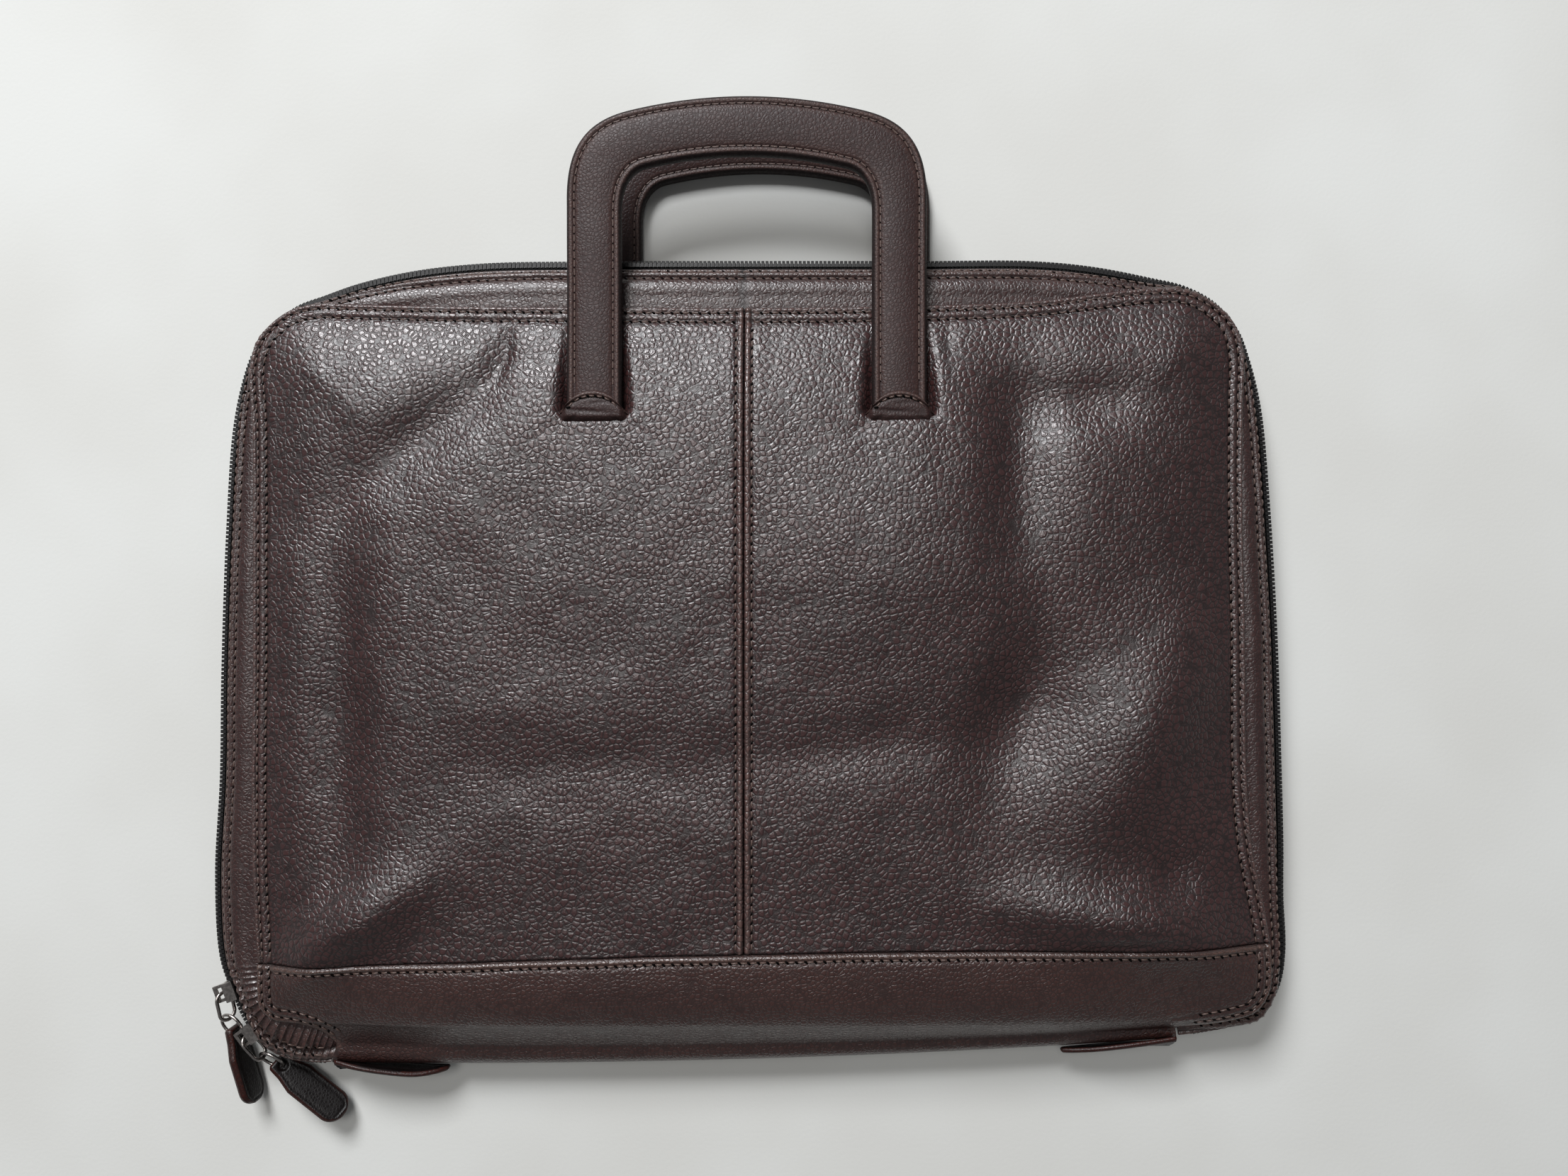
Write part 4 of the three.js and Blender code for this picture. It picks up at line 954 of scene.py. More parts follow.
def zip_tape():
    rows = np.arange(0.4, LAST_ROW - 0.39, 0.1)
    seam, out, width, zip_z = stations(rows)
    face = width - COIL_DEPTH - 0.4
    half = LIP_HALF * 0.36
    reach = [face - 2.6, face - 1.0, face, face, face - 1.0, face - 2.6]
    rise = [LIP_HALF - 2.2, half + 0.6, half, -half, -half - 0.6, -LIP_HALF + 2.2]
    lines = []
    for r, h in zip(reach, rise):
        lines.append(seam * [1, 1, 0] + out * r[:, None] + np.stack([0 * r, 0 * r, zip_z + h], 1))
    grid = np.stack(lines, 1)
    inner = grid - out[:, None] * TAPE_WALL
    made = sheet_object("tape_weave", grid, inner, NYLON_TAPE)
    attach(made, "root")
    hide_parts("zip_tape")
    return made


def even_rows(start, end, pitch):
    """Rows at an even pitch along the zip."""
    rows = np.linspace(start, end, 4000)
    line = spline(ZIP, rows)
    run = np.concatenate([[0], np.cumsum(np.linalg.norm(np.diff(line, axis=0), axis=1))])
    return np.interp(np.arange(pitch / 2, run[-1], pitch), run, rows)


def zip_teeth():
    points, faces = [], []
    wide, tall = COIL_DEPTH, COIL_HEIGHT / 2
    side = [(-wide, 0.15), (-0.7, 0.15), (0, 0.7), (0, tall - 1.0), (-0.35, tall - 0.3),
            (-0.9, tall), (-wide, tall)]
    count = len(side)
    for sign, lead in ((1, 0.0), (-1, 0.5)):
        rows = even_rows(0.4 + lead * 0.03, LAST_ROW - 0.4, TOOTH_PITCH)
        seam, out, width, zip_z = stations(rows)
        way = np.stack([-out[:, 1], out[:, 0], 0 * out[:, 0]], 1)
        for i in range(len(rows)):
            first = len(points)
            for step in (-0.55, 0.55):
                for reach, rise in side:
                    place = seam[i] * [1, 1, 0] + out[i] * (width[i] + reach) + way[i] * step
                    points.append(place + [0, 0, zip_z[i] + sign * rise])
            ring = [[first + j, first + (j + 1) % count, first + count + (j + 1) % count, first + count + j]
                    for j in range(count)]
            caps = [[first + j for j in range(count)][::-1], [first + count + j for j in range(count)]]
            faces += ring + caps if sign > 0 else [face[::-1] for face in ring + caps]
    rows = np.arange(0.4, LAST_ROW - 0.39, 0.1)
    seam, out, width, zip_z = stations(rows)
    core = []
    inside = [(-wide, tall - 0.5), (-1.1, tall - 0.7), (-0.9, 0), (-1.1, 0.7 - tall), (-wide, 0.5 - tall)]
    for reach, rise in inside:
        lifted = np.stack([0 * rows, 0 * rows, zip_z + rise], 1)
        core.append(seam * [1, 1, 0] + out * (width + reach)[:, None] + lifted)
    faces += quads(len(rows), len(core), len(points)).tolist()
    points += list(np.stack(core, 1).reshape(-1, 3))
    made = make_object("teeth", np.array(points), faces, NYLON_TEETH, smooth_shade=False)
    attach(made, "root")
    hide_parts("zip_coil")
    return made


zip_tape()
teeth = zip_teeth()
print("teeth:", len(teeth.data.polygons) // 9)

# %% [markdown]
# A flat handle is a padded strap: two strips of leather over a filler, sewn along both
# edges, with the cut edges painted and burnished dark. It is swept here. A section runs
# round the strap, and its width follows the outer and the inner outline of the arch.

# %% Handles
def arch_line(half, top, rise, shoulder, corner, pull, legs, curve_steps):
    """Right half of an arch from its crown down to the foot."""
    slope = 2 * rise / shoulder
    reach = (half - shoulder) * pull
    joint = np.array([shoulder, top - rise])
    share = np.linspace(0, 1, curve_steps)[:, None]
    crown = (1 - share) ** 2 * [0, top] + 2 * share * (1 - share) * [shoulder / 2, top] + share ** 2 * joint
    low = np.array([half, top - corner])
    upper = joint + [reach, -reach * slope]
    lower = np.array([half, mix(low[1], joint[1], 0.65)])
    bend = (1 - share) ** 3 * joint + 3 * share * (1 - share) ** 2 * upper
    bend = bend + 3 * share ** 2 * (1 - share) * lower + share ** 3 * low
    leg = low + (np.array([half, HANDLE_FOOT]) - low) * np.linspace(0, 1, legs)[:, None]
    return np.vstack([crown, bend[1:], leg[1:]])


STRAP_ROW = 3.0


def strap_height(across, width, is_top):
    """Half thickness of the strap at a distance from its nearer edge."""
    half = STRAP_THICK / 2
    edge = np.minimum(across, width - across)
    rounding = np.sqrt(np.clip(1 - (1 - np.clip(edge / 1.6, 0, 1)) ** 2, 0, 1))
    groove = -0.5 * np.exp(-(((edge - STRAP_ROW) / 0.6) ** 2))
    dome = 0.45 * smooth((edge - 3.2) / 5.5)
    return half * (0.16 + 0.84 * rounding) * (0.93 if is_top else 1) + (groove + dome if is_top else 0)


def strap_mesh(name, node, centre_x, shift_y, lift):
    outer = arch_line(HANDLE_HALF, HANDLE_TOP, 5.1, 42.2, 36.6, 0.6, 70, 56)
    inner = arch_line(HANDLE_HALF - STRAP_WIDTH, HANDLE_TOP - STRAP_WIDTH - 1.3, 4.2, 36, 20.1, 0.55, 70, 56)
    outer = np.vstack([outer[::-1] * [-1, 1], outer[1:]]) + [centre_x, shift_y]
    inner = np.vstack([inner[::-1] * [-1, 1], inner[1:]]) + [centre_x, shift_y]
    width = np.linalg.norm(outer - inner, axis=1)
    edge_steps = np.array([0, 0.1, 0.35, 0.8, 1.3, 1.8, 2.3, 2.65, 3.0, 3.35, 3.8, 5, 6.6, 8.3])
    shares = np.concatenate([edge_steps / 19.8, 1 - edge_steps[::-1] / 19.8])
    top, under, marks = [], [], []
    for share in shares:
        plan = mix(outer, inner, share)
        middle = lift(plan[:, 1]) + STRAP_THICK / 2
        across = share * width
        top.append(np.column_stack([plan, middle + strap_height(across, width, True)]))
        under.append(np.column_stack([plan, middle - strap_height(across, width, False)]))
        marks.append(np.minimum(across, width - across))
    loop = np.stack(top + under[::-1], 1)
    edge = np.stack(marks + marks[::-1], 1)
    rows, columns = loop.shape[:2]
    faces = quads(rows, columns, wrap=True).tolist()
    faces += [list(range(columns))[::-1], [(rows - 1) * columns + j for j in range(columns)]]
    # the straps' cut edges get their real dark edge paint; the stitch groove gets painted shade
    ditch_shade_and_edge_paint = 0.75 * (edge < 0.9) + 0.2 * soft_band(edge, STRAP_ROW, 0.5)
    # painted highlight on the strap's rounded edges and on its pad
    rim_highlight = 0.6 * soft_band(edge, 1.7, 0.6) + 0.25 * soft_band(edge, 4.1, 0.6)
    made = make_object(name, loop, faces, STRAP_LEATHER, {"rim_highlight": rim_highlight, "ditch_shade_and_edge_paint": ditch_shade_and_edge_paint})
    bpy.context.view_layer.update()
    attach(made, "root")
    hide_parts(node)
    return made, (outer, inner, lift)


def rear_leg_lift(y):
    return 2.3 * (1 - smooth((y - HANDLE_FOOT - REAR_SHIFT - 9) / 16))


front_strap, front_lines = strap_mesh("strap_front", "handle_front", FRONT_X, 0, front_leg_lift)
rear_strap, rear_lines = strap_mesh("strap_rear", "handle_rear", REAR_X, REAR_SHIFT, rear_leg_lift)
print("strap points:", len(front_strap.data.vertices))

# %% [markdown]
# Each leg of a handle ends under a half-moon of leather that is sewn over it. Below the
# leg the half-moon goes down into the panel, so its last millimetres lie under the skin.

# %% Handle flaps
FLAP_HALF = 12.9
FLAP_RISE = 9.0
FLAP_WALL = 1.5
FRONT_ROOT = 3.2
REAR_ROOT = 11.5
REAR_CLEAR = 2.2
FLAP_CREASES = [(0, -2.5, 9, 0.8, 3, -0.45), (-2, 1.5, 7, 0.7, -4, -0.35), (3, 4.6, 6, 0.7, 5, -0.3),
                (-10, -3, 5, 0.8, 35, -0.5), (10, -3, 5, 0.8, -35, -0.5)]


def flap(name, node, leg_x, foot, side, root, over, panel):
    lines = np.concatenate([np.linspace(-1, 0, 15)[:-1], np.linspace(0, 1, 24)])
    columns = np.sin(np.linspace(-np.pi / 2, np.pi / 2, 49))
    chord = foot - 1.5
    line, column = lines[:, None], columns[None, :]
    arc = FLAP_RISE * np.sqrt(np.maximum(0, 1 - (0.985 * column) ** 2))
    y = np.where(line < 0, chord + line * root, chord + line * arc)
    x = leg_x + column * FLAP_HALF * np.where(line < 0, 1 - 0.1 * smooth(-line), 1 - 0.22 * line * line)
    droop = 3.0 * smooth((np.abs(x - leg_x) - STRAP_WIDTH / 2 + 0.4) / 3.4)
    on_leg = over(y) + side * (GAP - droop)
    on_panel = panel(x, y) - side * (0.5 + FLAP_WALL)
    height = mix(on_leg, on_panel, np.where(line < 0, smooth(-line * 1.02), 0))
    from_arc = np.hypot(np.maximum(0, (1 - line)) * arc, 0) + np.where(line < 0, 9, 0)
    height = height + side * (FLAP_WALL + np.where(line >= 0, profile(FOLDED_EDGE, from_arc), 0))
    height = height + side * bumps(FLAP_CREASES, x - leg_x, y - chord)
    grid = np.stack([x + 0 * height, y + 0 * height, height], -1)
    inner = grid - [0, 0, side * FLAP_WALL]
    # painted highlight on the half-moon's folded rim
    rim_highlight = 0.5 * soft_band(from_arc, 1.0, 0.7)
    # painted shade in the rim's stitch ditch and in the pressed creases
    pressed = np.minimum(0, bumps(FLAP_CREASES, x - leg_x, y - chord))
    ditch_shade_and_edge_paint = 0.4 * soft_band(from_arc, 2.6, 0.35) - 0.9 * pressed
    made = sheet_object(name, grid, inner, STRAP_LEATHER, rim_highlight, ditch_shade_and_edge_paint)
    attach(made, "root")
    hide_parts(node)
    return made


def front_height(x, y):
    return soft_min(SEAM_HEIGHT + relief(x, y, seam_distance(x, y)), seat_ceiling(x, y), SEAT_BLEND)


def over_front(y):
    return front_leg_lift(np.maximum(y, HANDLE_FOOT)) + STRAP_THICK


def under_rear(y):
    return 0 * y + REAR_CLEAR


flaps = []
for side, leg_x in zip(("left", "right"), FRONT_LEGS):
    flaps.append(flap(f"moon_front_{side}", f"handle_flap_front_{side}", leg_x, HANDLE_FOOT, 1,
                      FRONT_ROOT, over_front, front_height))
for side, leg_x in zip(("left", "right"), REAR_LEGS):
    flap(f"moon_rear_{side}", f"handle_flap_rear_{side}", leg_x, HANDLE_FOOT + REAR_SHIFT, -1,
         REAR_ROOT, under_rear, back_height)
print("flaps:", len(flaps) + 2)

# %% [markdown]
# The zip ends in two leather tabs that hang off its ends and lie along the bottom fold.
# They are plain leaves of dark leather with a rounded end, swollen a little where the
# layers are folded. A few sections say where the top and low edge run.

# %% End tabs
TABS = {
    # along the tab, then top y, top z, low y, low z, in hundredths
    "left": [(0, -9.8, 72, 2.2, 42), (22, -5.2, 78, 3.2, 22), (48, 0, 74, 5.2, 14),
             (72, 3.2, 68, 6, 16), (90, 2.6, 58, 4.2, 26), (100, 1.6, 46, 2, 36)],
    "right": [(0, -9.6, 84, 3.4, 46), (22, -7, 82, 3.2, 40), (48, -4, 78, 2.8, 38),
              (72, -1, 70, 3, 38), (90, 0.6, 62, 2.4, 42), (100, 1.2, 56, 1.6, 46)],
}
TAB_LENGTH = 41.0
TAB_WALL = 2.2
BAND_WIDTH = 40.5


def fold_y(x):
    """The outermost line of the bottom fold."""
    left, right = band_left([0.5])[0], band_right([0.5])[0]
    share = np.clip((x - left[0]) / (right[0] - left[0]), 0, 1)
    return mix(left[1], right[1], share) - BAND_BOW * 4 * share * (1 - share)


def end_tab(name, root_x, direction):
    rows = np.array(TABS[name], float)
    fine = spline(rows, np.linspace(0, len(rows) - 1, 46))
    share = np.linspace(0, 1, 21)
    x = root_x + direction * np.clip(fine[:, :1], 0, 100) / 100 * TAB_LENGTH + 0 * share[None]
    top_y, low_y = fine[:, 1:2] / 100 * BAND_WIDTH, fine[:, 3:4] / 100 * BAND_WIDTH
    y = fold_y(x) - mix(top_y, low_y, share[None])
    z = mix(fine[:, 2:3], fine[:, 4:5], share[None]) / 100 * SEAM_HEIGHT
    middle = np.stack([x, y - TAB_WALL / 2, z], -1)
    tall = np.linalg.norm(middle[:, -1] - middle[:, 0], axis=1)[:, None]
    to_end = (100 - fine[:, :1]) / 100 * TAB_LENGTH + 0.05
    edge = np.minimum(np.minimum(share, 1 - share)[None] * tall, to_end)
    thick = TAB_WALL / 2 * np.sqrt(np.clip(1 - (1 - np.clip(edge / 1.4, 0.02, 1)) ** 2, 0, 1))
    thick = thick * (1 - 0.22 * np.exp(-(((edge - 2.4) / 0.6) ** 2)))
    push = np.stack([0 * thick, thick, 0 * thick], -1)
    # the tab's cut edges get a painted highlight
    made = sheet_object(f"tab_{name}", middle + push, middle - push, DARK_LEATHER, 0.9 * (edge < 0.7), 0)
    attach(made, "root")
    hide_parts(f"end_tab_{name}")
    return made


end_tab("left", band_left([0.45])[0][0] + 1, 1)
end_tab("right", band_right([0.45])[0][0] - 1, -1)

# %% [markdown]
# Two sliders stand at the lower left corner. From each hangs a flat loop, a jump ring and
# a leather pull. The sliders keep the solid model's own shape with softened edges. The
# rest is drawn again with rounder sections, standing where the solids stand.

# %% Zip pulls
LOOP_LENGTH, LOOP_WIDTH, LOOP_BAR, LOOP_THICK = 12.2, 7.2, 1.4, 1.0
RING_RADIUS, RING_WIRE = 4.6, 0.6
PULL_WIDTH, PULL_NECK, PULL_THICK, PULL_HOLE, PULL_ROUND = 12.0, 8.8, 3.4, 2.1, 6
BODY_GAP, BODY_WALL, BODY_STEP, BRIDGE_REACH = 0.55, 1.1, 0.3, 5.2
PULL_SETS = [
    dict(name="side", row=5, loop_out=0.22, loop_down=0.16, tilt=0.62, ring=(1.4, -9, -3.4),
         pull=(0.26, -0.96, -0.05), face=(0.94, 0.26, 0.22), length=27),
    dict(name="corner", row=3.6, loop_out=0.05, loop_down=0.28, tilt=0.45, ring=(7.2, -5.0, -1.9),
         pull=(0.771, -0.637, -0.03), face=(0.38, 0.44, 0.81), length=30),
]


def unit(vector):
    vector = np.asarray(vector, float)
    return vector / np.linalg.norm(vector)


def basis(x_axis, y_axis):
    x = unit(x_axis)
    z = unit(np.cross(x, y_axis))
    return np.stack([x, np.cross(z, x), z])


def swept_ring(path, wire, flat=1.0):
    """Closed tube round a flat closed path. flat squeezes the wire across the path's plane."""
    ahead = np.roll(path, -1, 0) - np.roll(path, 1, 0)
    ahead /= np.linalg.norm(ahead, axis=1)[:, None]
    side = np.stack([ahead[:, 1], -ahead[:, 0], 0 * ahead[:, 0]], 1)
    turns = np.linspace(0, 2 * np.pi, 13)[:-1]
    ring = path[:, None] + side[:, None] * (np.cos(turns) * wire)[None, :, None]
    ring = ring + np.array([0, 0, 1]) * (np.sin(turns) * wire * flat)[None, :, None]
    rows = len(path)
    points = np.concatenate([ring, ring[:1]])
    faces = quads(rows + 1, len(turns), wrap=True) % (rows * len(turns))
    return points[:-1].reshape(-1, 3), faces


def oval(length, width, steps):
    half = width / 2
    turns = np.linspace(-np.pi / 2, np.pi / 2, steps)
    right = np.stack([length / 2 - half + half * np.cos(turns), half * np.sin(turns), 0 * turns], 1)
    return np.vstack([right, right * [-1, -1, 1]])


def placed(name, node, points, faces, axes, origin, finish):
    made = make_object(name, points @ axes + origin, faces, finish)
    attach(made, "root")
    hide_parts(node)
    return made


def pull_outline(length):
    """Outline of a leather pull as radii of a rounded strip: position along and half width."""
    head = -PULL_HOLE * 1.6
    tip = length - PULL_ROUND
    rounded = tip + PULL_ROUND * np.sin(np.linspace(0, np.pi / 2, 26))[1:]
    along = np.concatenate([np.linspace(head, tip, 60), rounded])
    places = [head, PULL_HOLE, PULL_HOLE + PULL_ROUND, length]
    half = np.interp(along, places, [3.7, PULL_NECK / 2, PULL_WIDTH / 2, PULL_WIDTH / 2])
    end = np.clip((along - tip) / PULL_ROUND, 0, 1)
    start = np.clip((head + 1.2 - along) / 1.2, 0, 1)
    return along, half * np.sqrt(np.clip(1 - end ** 2, 0.0004, 1)) * np.sqrt(1 - 0.4 * start ** 2)


def leather_pull(chosen, origin, axes):
    along, half = pull_outline(chosen["length"])
    share = np.sin(np.linspace(-np.pi / 2, np.pi / 2, 27))
    x = along[:, None] + 0 * share[None]
    y = half[:, None] * share[None]
    edge = np.minimum(half[:, None] - np.abs(y), np.minimum(x - along[0], chosen["length"] - x) + 0.05)
    thick = (PULL_THICK / 2) * np.sqrt(np.clip(1 - (1 - np.clip(edge / 1.3, 0.03, 1)) ** 2, 0, 1))
    thick = thick * (1 - 0.12 * np.exp(-(((edge - 2.0) / 0.45) ** 2)))
    from_hole = np.hypot(x - 0.3, y)
    hole = np.clip((PULL_HOLE - from_hole) / PULL_HOLE, 0, 1)
    thick = np.where(hole > 0, thick * (1 - 0.75 * smooth(hole * 3)), thick)
    upper = np.stack([x, y, thick], -1)
    outer, inner = upper @ axes + origin, (upper * [1, 1, -1]) @ axes + origin
    # the pull's edges, away from the hole, get a painted highlight
    rim_highlight = 0.8 * ((edge < 0.9) & (from_hole > PULL_HOLE + 1))
    made = sheet_object(f"pull_{chosen['name']}", outer, inner, DARK_LEATHER, rim_highlight, 0)
    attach(made, "root")
    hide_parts(f"zip_pull_{chosen['name']}")


for chosen in PULL_SETS:
    face, behind, ahead = spline(ZIP, [chosen["row"], chosen["row"] + 0.2, chosen["row"] - 0.2])
    along = unit((ahead - behind) * [1, 1, 0])
    out = np.array([-along[1], along[0], 0])
    out = out if out @ stations([chosen["row"]])[1][0] > 0 else -out
    eye = face + out * (BODY_GAP + BODY_WALL + BODY_STEP + (BRIDGE_REACH - BODY_WALL) / 2)
    loop_axis = unit(along + out * chosen["loop_out"] + np.array([0, 0, -chosen["loop_down"]]))
    across = out * chosen["tilt"] + np.array([0, 0, math.sqrt(1 - chosen["tilt"] ** 2)])
    loop_line = oval(LOOP_LENGTH - LOOP_BAR, LOOP_WIDTH - LOOP_BAR, 22)
    points, faces = swept_ring(loop_line, LOOP_BAR / 2, LOOP_THICK / LOOP_BAR)
    placed(f"loop_{chosen['name']}", f"pull_loop_{chosen['name']}", points, faces, basis(loop_axis, across),
           eye + loop_axis * (LOOP_LENGTH / 2 - LOOP_BAR / 2), SILVER)
    ring_start = eye + loop_axis * (LOOP_LENGTH - 1.5 * LOOP_BAR - RING_WIRE - GAP)
    ring_axis = unit(chosen["ring"])
    ring_middle = ring_start + ring_axis * RING_RADIUS
    loop_face = unit(np.cross(loop_axis, across))
    loop_face = loop_face if loop_face @ chosen["face"] > 0 else -loop_face
    turns = np.linspace(0, 2 * np.pi, 49)[:-1]
    circle = np.stack([np.cos(turns), np.sin(turns), 0 * turns], 1) * RING_RADIUS
    points, faces = swept_ring(circle, RING_WIRE)
    placed(f"ring_{chosen['name']}", f"jump_ring_{chosen['name']}", points, faces,
           basis(ring_axis, loop_face + unit(chosen["face"])), ring_middle, SILVER)
    pull_axis = unit(chosen["pull"])
    pull_axes = basis(pull_axis, np.cross(chosen["face"], pull_axis))
    leather_pull(chosen, ring_middle + ring_axis * RING_RADIUS, pull_axes)

for node_name in ("zip_slider_side", "zip_slider_corner"):
    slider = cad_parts[node_name]
    slider.data.materials.clear()
    slider.data.materials.append(SILVER)
    softened = slider.modifiers.new("softened", "BEVEL")
    softened.width = 0.3 * MM
    softened.segments = 2
print("pull sets:", len(PULL_SETS))

# %% [markdown]
# The stitches are what a maker is proud of. Every one is a short length of waxed thread
# that comes up through one hole and goes down through the next. Each is a small swollen
# rod here, laid on the finished leather by dropping a ray on it, so that no stitch floats.

# %% Stitches
THREAD_RADIUS = 0.38
STITCH_RINGS = np.array([
    # share of half length, share of radius, height above the skin in shares of the radius
    [-1.0, 0.15, -0.9], [-0.78, 0.8, -0.15], [0.0, 1.0, 0.35], [0.78, 0.8, -0.15], [1.0, 0.15, -0.9],
])
STITCH_SIDES = 6
STITCH_TURNS = np.arange(STITCH_SIDES) * 2 * np.pi / STITCH_SIDES
STEEPEST = 2
HOLE_LENGTH = 0.95
HOLE_WIDTH = 0.46
HOLE_RISE = 0.24
HOLE_DEPTH = 0.3
HOLE_SLANT = 1.1


def skin_of(pieces):
    points, faces = [], []
    for piece in pieces:
        first = len(points)
        points += [tuple(vertex.co) for vertex in piece.data.vertices]
        faces += [[first + i for i in polygon.vertices] for polygon in piece.data.polygons]
    return BVHTree.FromPolygons(points, faces)


def walk(path, pitch):
    """Even steps along a path: middles of the stitches and their directions."""
    run = np.concatenate([[0], np.cumsum(np.linalg.norm(np.diff(path, axis=0), axis=1))])
    at = np.arange(pitch / 2, run[-1], pitch)
    places = np.stack([np.interp(at, run, path[:, k]) for k in range(2)], 1)
    ahead = np.stack([np.interp(at + 0.4, run, path[:, k]) for k in range(2)], 1) - places
    return places, ahead / np.linalg.norm(ahead, axis=1)[:, None]


def ends_of_stitch(tree, place, ahead, pitch):
    """Where a stitch goes into the skin: two places and normals, or fewer where it misses."""
    ends = []
    for sign in (-1, 1):
        spot = place + sign * ahead * 0.36 * pitch
        hit = tree.ray_cast(Vector((spot[0] * MM, spot[1] * MM, 0.1)), Vector((0, 0, -1)))
        if hit[0] is not None:
            ends.append((np.array(hit[0]) / MM, np.array(hit[1])))
    return ends


def add_thread(points, faces, middle, axis, side, normal):
    first = len(points)
    for share, radius, rise in STITCH_RINGS:
        centre = middle + axis * share * 1.18 + normal * rise * THREAD_RADIUS
        for turn in STITCH_TURNS:
            spoke = side * math.cos(turn) + normal * math.sin(turn)
            points.append(centre + spoke * radius * THREAD_RADIUS)
    faces += (quads(len(STITCH_RINGS), STITCH_SIDES, first, wrap=True)).tolist()
    last = first + (len(STITCH_RINGS) - 1) * STITCH_SIDES
    faces.append([first + k for k in range(STITCH_SIDES)][::-1])
    faces.append([last + k for k in range(STITCH_SIDES)])


def add_hole(points, holes, hole, way, side, normal):
    """A small cone under a slanted oval, where the needle went through, coloured near black as painted shade
    inside the hole.
    """
    slant = unit(side + way * HOLE_SLANT)
    first = len(points)
    for turn in STITCH_TURNS:
        rim = slant * math.cos(turn) * HOLE_LENGTH
        rim = rim + np.cross(normal, slant) * math.sin(turn) * HOLE_WIDTH
        points.append(hole + rim + normal * HOLE_RISE)
    points.append(hole - normal * HOLE_DEPTH)
    for k in range(STITCH_SIDES):
        holes.append([first + k, first + (k + 1) % STITCH_SIDES, first + STITCH_SIDES])
    holes.append([first + k for k in range(STITCH_SIDES)][::-1])


def sew(name, tree, paths, pitch=PITCH, seed=1):
    """Stitches along plan paths, dropped on a skin, as one mesh."""
    random = np.random.RandomState(seed)
    points, faces, holes = [], [], []
    for path in paths:
        for place, ahead in zip(*walk(path, pitch)):
            lean = random.uniform(-0.05, 0.05)
            ahead = np.array([ahead[0] - lean * ahead[1], ahead[1] + lean * ahead[0]])
            ends = ends_of_stitch(tree, place, ahead, pitch)
            if len(ends) < 2 or abs(ends[1][0][2] - ends[0][0][2]) > STEEPEST:
                continue
            middle, axis = (ends[0][0] + ends[1][0]) / 2, (ends[1][0] - ends[0][0]) / 2
            normal = unit(ends[0][1] + ends[1][1])
            side = unit(np.cross(axis, normal))
            add_thread(points, faces, middle, axis, side, normal)
            way = unit(axis)
            add_hole(points, holes, middle + way * 0.5 * pitch, way, side, normal)
    made = make_object(name, np.array(points), faces + holes, THREAD)
    made.data.materials.append(HOLE_SHADE)
    made.data.polygons.foreach_set("material_index", [0] * len(faces) + [1] * len(holes))
    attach(made, "root")
    return made


def beside_outline(low, high, inward):
    """Path at a distance inside the turned edge."""
    rows = np.linspace(low, high, 700)
    line = spline(SEAM, rows)[:, :2]
    ahead = np.gradient(line, axis=0)
    normal = np.stack([ahead[:, 1], -ahead[:, 0]], 1)
    return line + normal / np.linalg.norm(normal, axis=1)[:, None] * inward


def on_strip(low, high, from_edge):
    rows = np.linspace(low, high, 900)
    seam, out, width, _ = stations(rows)
    return (seam + out * (width - COIL_REVEAL - from_edge)[:, None])[:, :2]


front_skin = skin_of(panels + [band] + flaps)
left_row, right_row = band_corner(-1, 1.6), band_corner(1, 1.6)
middle_left = rows_where(0, [SEAM_X - SEAM_ROWS], TOP_MIDDLE - 1, TOP_MIDDLE + 1)[0]
middle_right = rows_where(0, [SEAM_X + SEAM_ROWS], TOP_MIDDLE - 1, TOP_MIDDLE + 1)[0]
panel_rows = [beside_outline(left_row, middle_left, row) for row in EDGE_ROWS]
panel_rows += [beside_outline(middle_right, right_row, row) for row in EDGE_ROWS]
for side in (-1, 1):
    line_x = SEAM_X + side * SEAM_ROWS
    panel_rows.append(np.array([[line_x, folded_edge_y(line_x) + 1], [line_x, 0.873 * HALF_HEIGHT - 7.5]]))
sew("thread_panels", front_skin, panel_rows)

band_rows = [beside_outline(0.4, left_row - 0.2, row) for row in EDGE_ROWS]
band_rows += [beside_outline(right_row + 0.2, LAST_ROW - 0.4, row) for row in EDGE_ROWS]
fold_share = np.linspace(0.02, 0.98, 200)
fold_line = band_grid(np.array([0.0]), fold_share)[0][0, :, :2] - [0, FOLD_ROW]
band_rows.append(fold_line)
sew("thread_band", front_skin, band_rows, seed=2)

gusset_skin = skin_of(gussets[:1])
sew("thread_gusset", gusset_skin, [on_strip(0.6, LAST_ROW - 0.6, distance) for distance in (1.25, 4.35)],
    seed=3)


def strap_rows(lines, low_y):
    outer, inner, _ = lines
    width = np.linalg.norm(outer - inner, axis=1)[:, None]
    inwards = (inner - outer) / width * STRAP_ROW
    rows = [outer + inwards, inner - inwards]
    return [row[row[:, 1] > low_y] for row in rows]


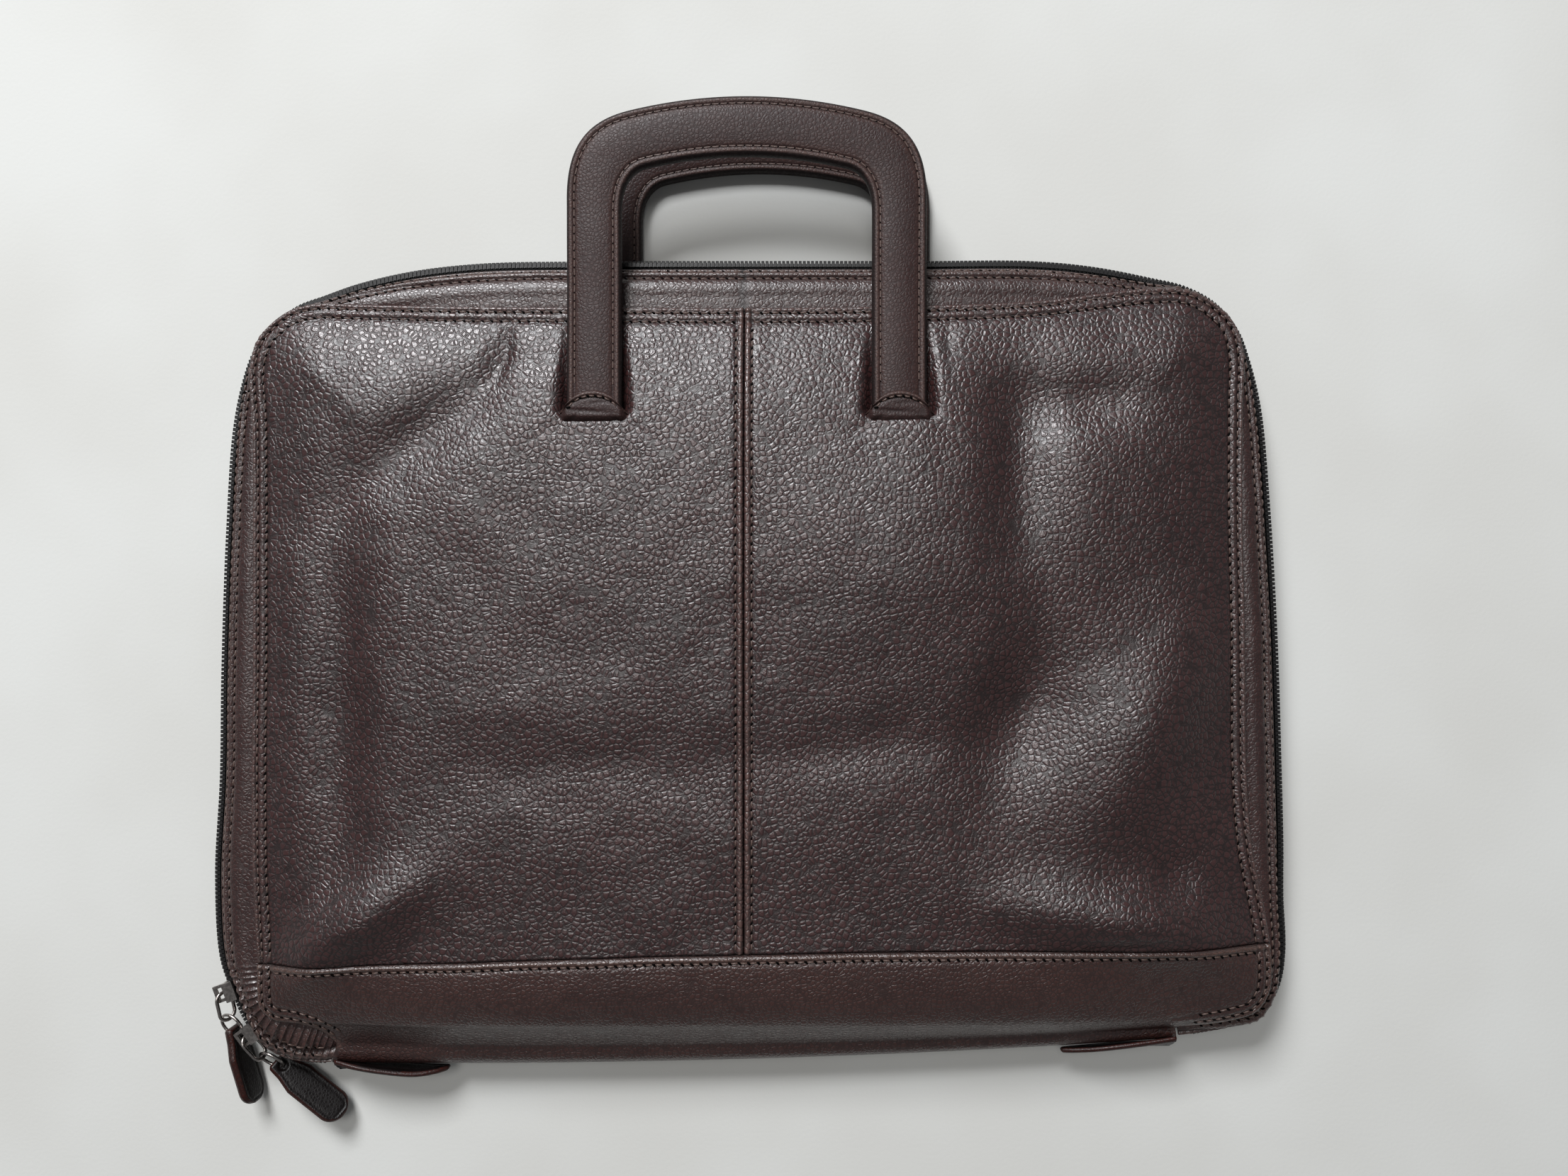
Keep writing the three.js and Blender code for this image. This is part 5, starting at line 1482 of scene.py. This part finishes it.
STRAP_PITCH = 3.0
sew("thread_strap_front", skin_of([front_strap]), strap_rows(front_lines, HANDLE_FOOT + 9),
    STRAP_PITCH, 4)
sew("thread_strap_rear", skin_of([rear_strap]), strap_rows(rear_lines, HANDLE_FOOT + 25),
    STRAP_PITCH, 5)
turn = np.linspace(0.14, 0.86, 60) * np.pi
moon_rows = []
for leg_x in FRONT_LEGS:
    moon_rows.append(np.stack([leg_x + 9.2 * np.cos(turn), HANDLE_FOOT - 1.2 + 6.6 * np.sin(turn)], 1))
sew("thread_moons", skin_of(flaps), moon_rows, 2.8, 6)
print("stitches sewn")

# %% [markdown]
# The photograph was taken straight down in a bright room, with a large soft light beyond
# the handles. So the light here is a big area lamp on that side, a weaker one overhead and
# a grey sky.

# %% Floor, light and camera
floor_mesh = bpy.data.meshes.new("floor")
FLOOR_HALF = 3
FLOOR_DROP = 0.0002
corners = [(FLOOR_HALF * x, FLOOR_HALF * y, 0) for x, y in ((-1, -1), (1, -1), (1, 1), (-1, 1))]
floor_mesh.from_pydata(corners, [], [(0, 1, 2, 3)])
floor_mesh.materials.append(FLOOR)
floor = bpy.data.objects.new("floor", floor_mesh)
bpy.context.collection.objects.link(floor)
floor.location.z = -FLOOR_DROP


def soft_lamp(name, place, target, size, watts, tint):
    lamp = bpy.data.lights.new(name, "AREA")
    lamp.size = size
    lamp.energy = watts
    lamp.color = tint
    thing = bpy.data.objects.new(name, lamp)
    thing.location = place
    thing.rotation_euler = (Vector(target) - Vector(place)).to_track_quat("-Z", "Y").to_euler()
    bpy.context.collection.objects.link(thing)


soft_lamp("window", (-0.75, 1.8, 1.72), (0, 0, 0), 0.9, 70, (0.97, 0.98, 1.0))
soft_lamp("ceiling", (-0.35, 0.55, 2.3), (0, 0, 0), 0.8, 13, (1.0, 0.98, 0.96))
world = bpy.data.worlds.new("room")
bpy.context.scene.world = world
world.use_nodes = True
sky = world.node_tree.nodes["Background"]
sky.inputs["Color"].default_value = (0.96, 0.98, 1.0, 1)
sky.inputs["Strength"].default_value = 0.15

CAMERA_PLACE = (0.0121, 0.0281, 0.455)
LENS = 27.03
SENSOR_WIDTH = 36
camera = bpy.data.objects.new("camera", bpy.data.cameras.new("camera"))
bpy.context.collection.objects.link(camera)
camera.location = CAMERA_PLACE
camera.data.lens = LENS
camera.data.sensor_width = SENSOR_WIDTH
bpy.context.scene.camera = camera
bpy.context.scene.view_settings.view_transform = "Standard"
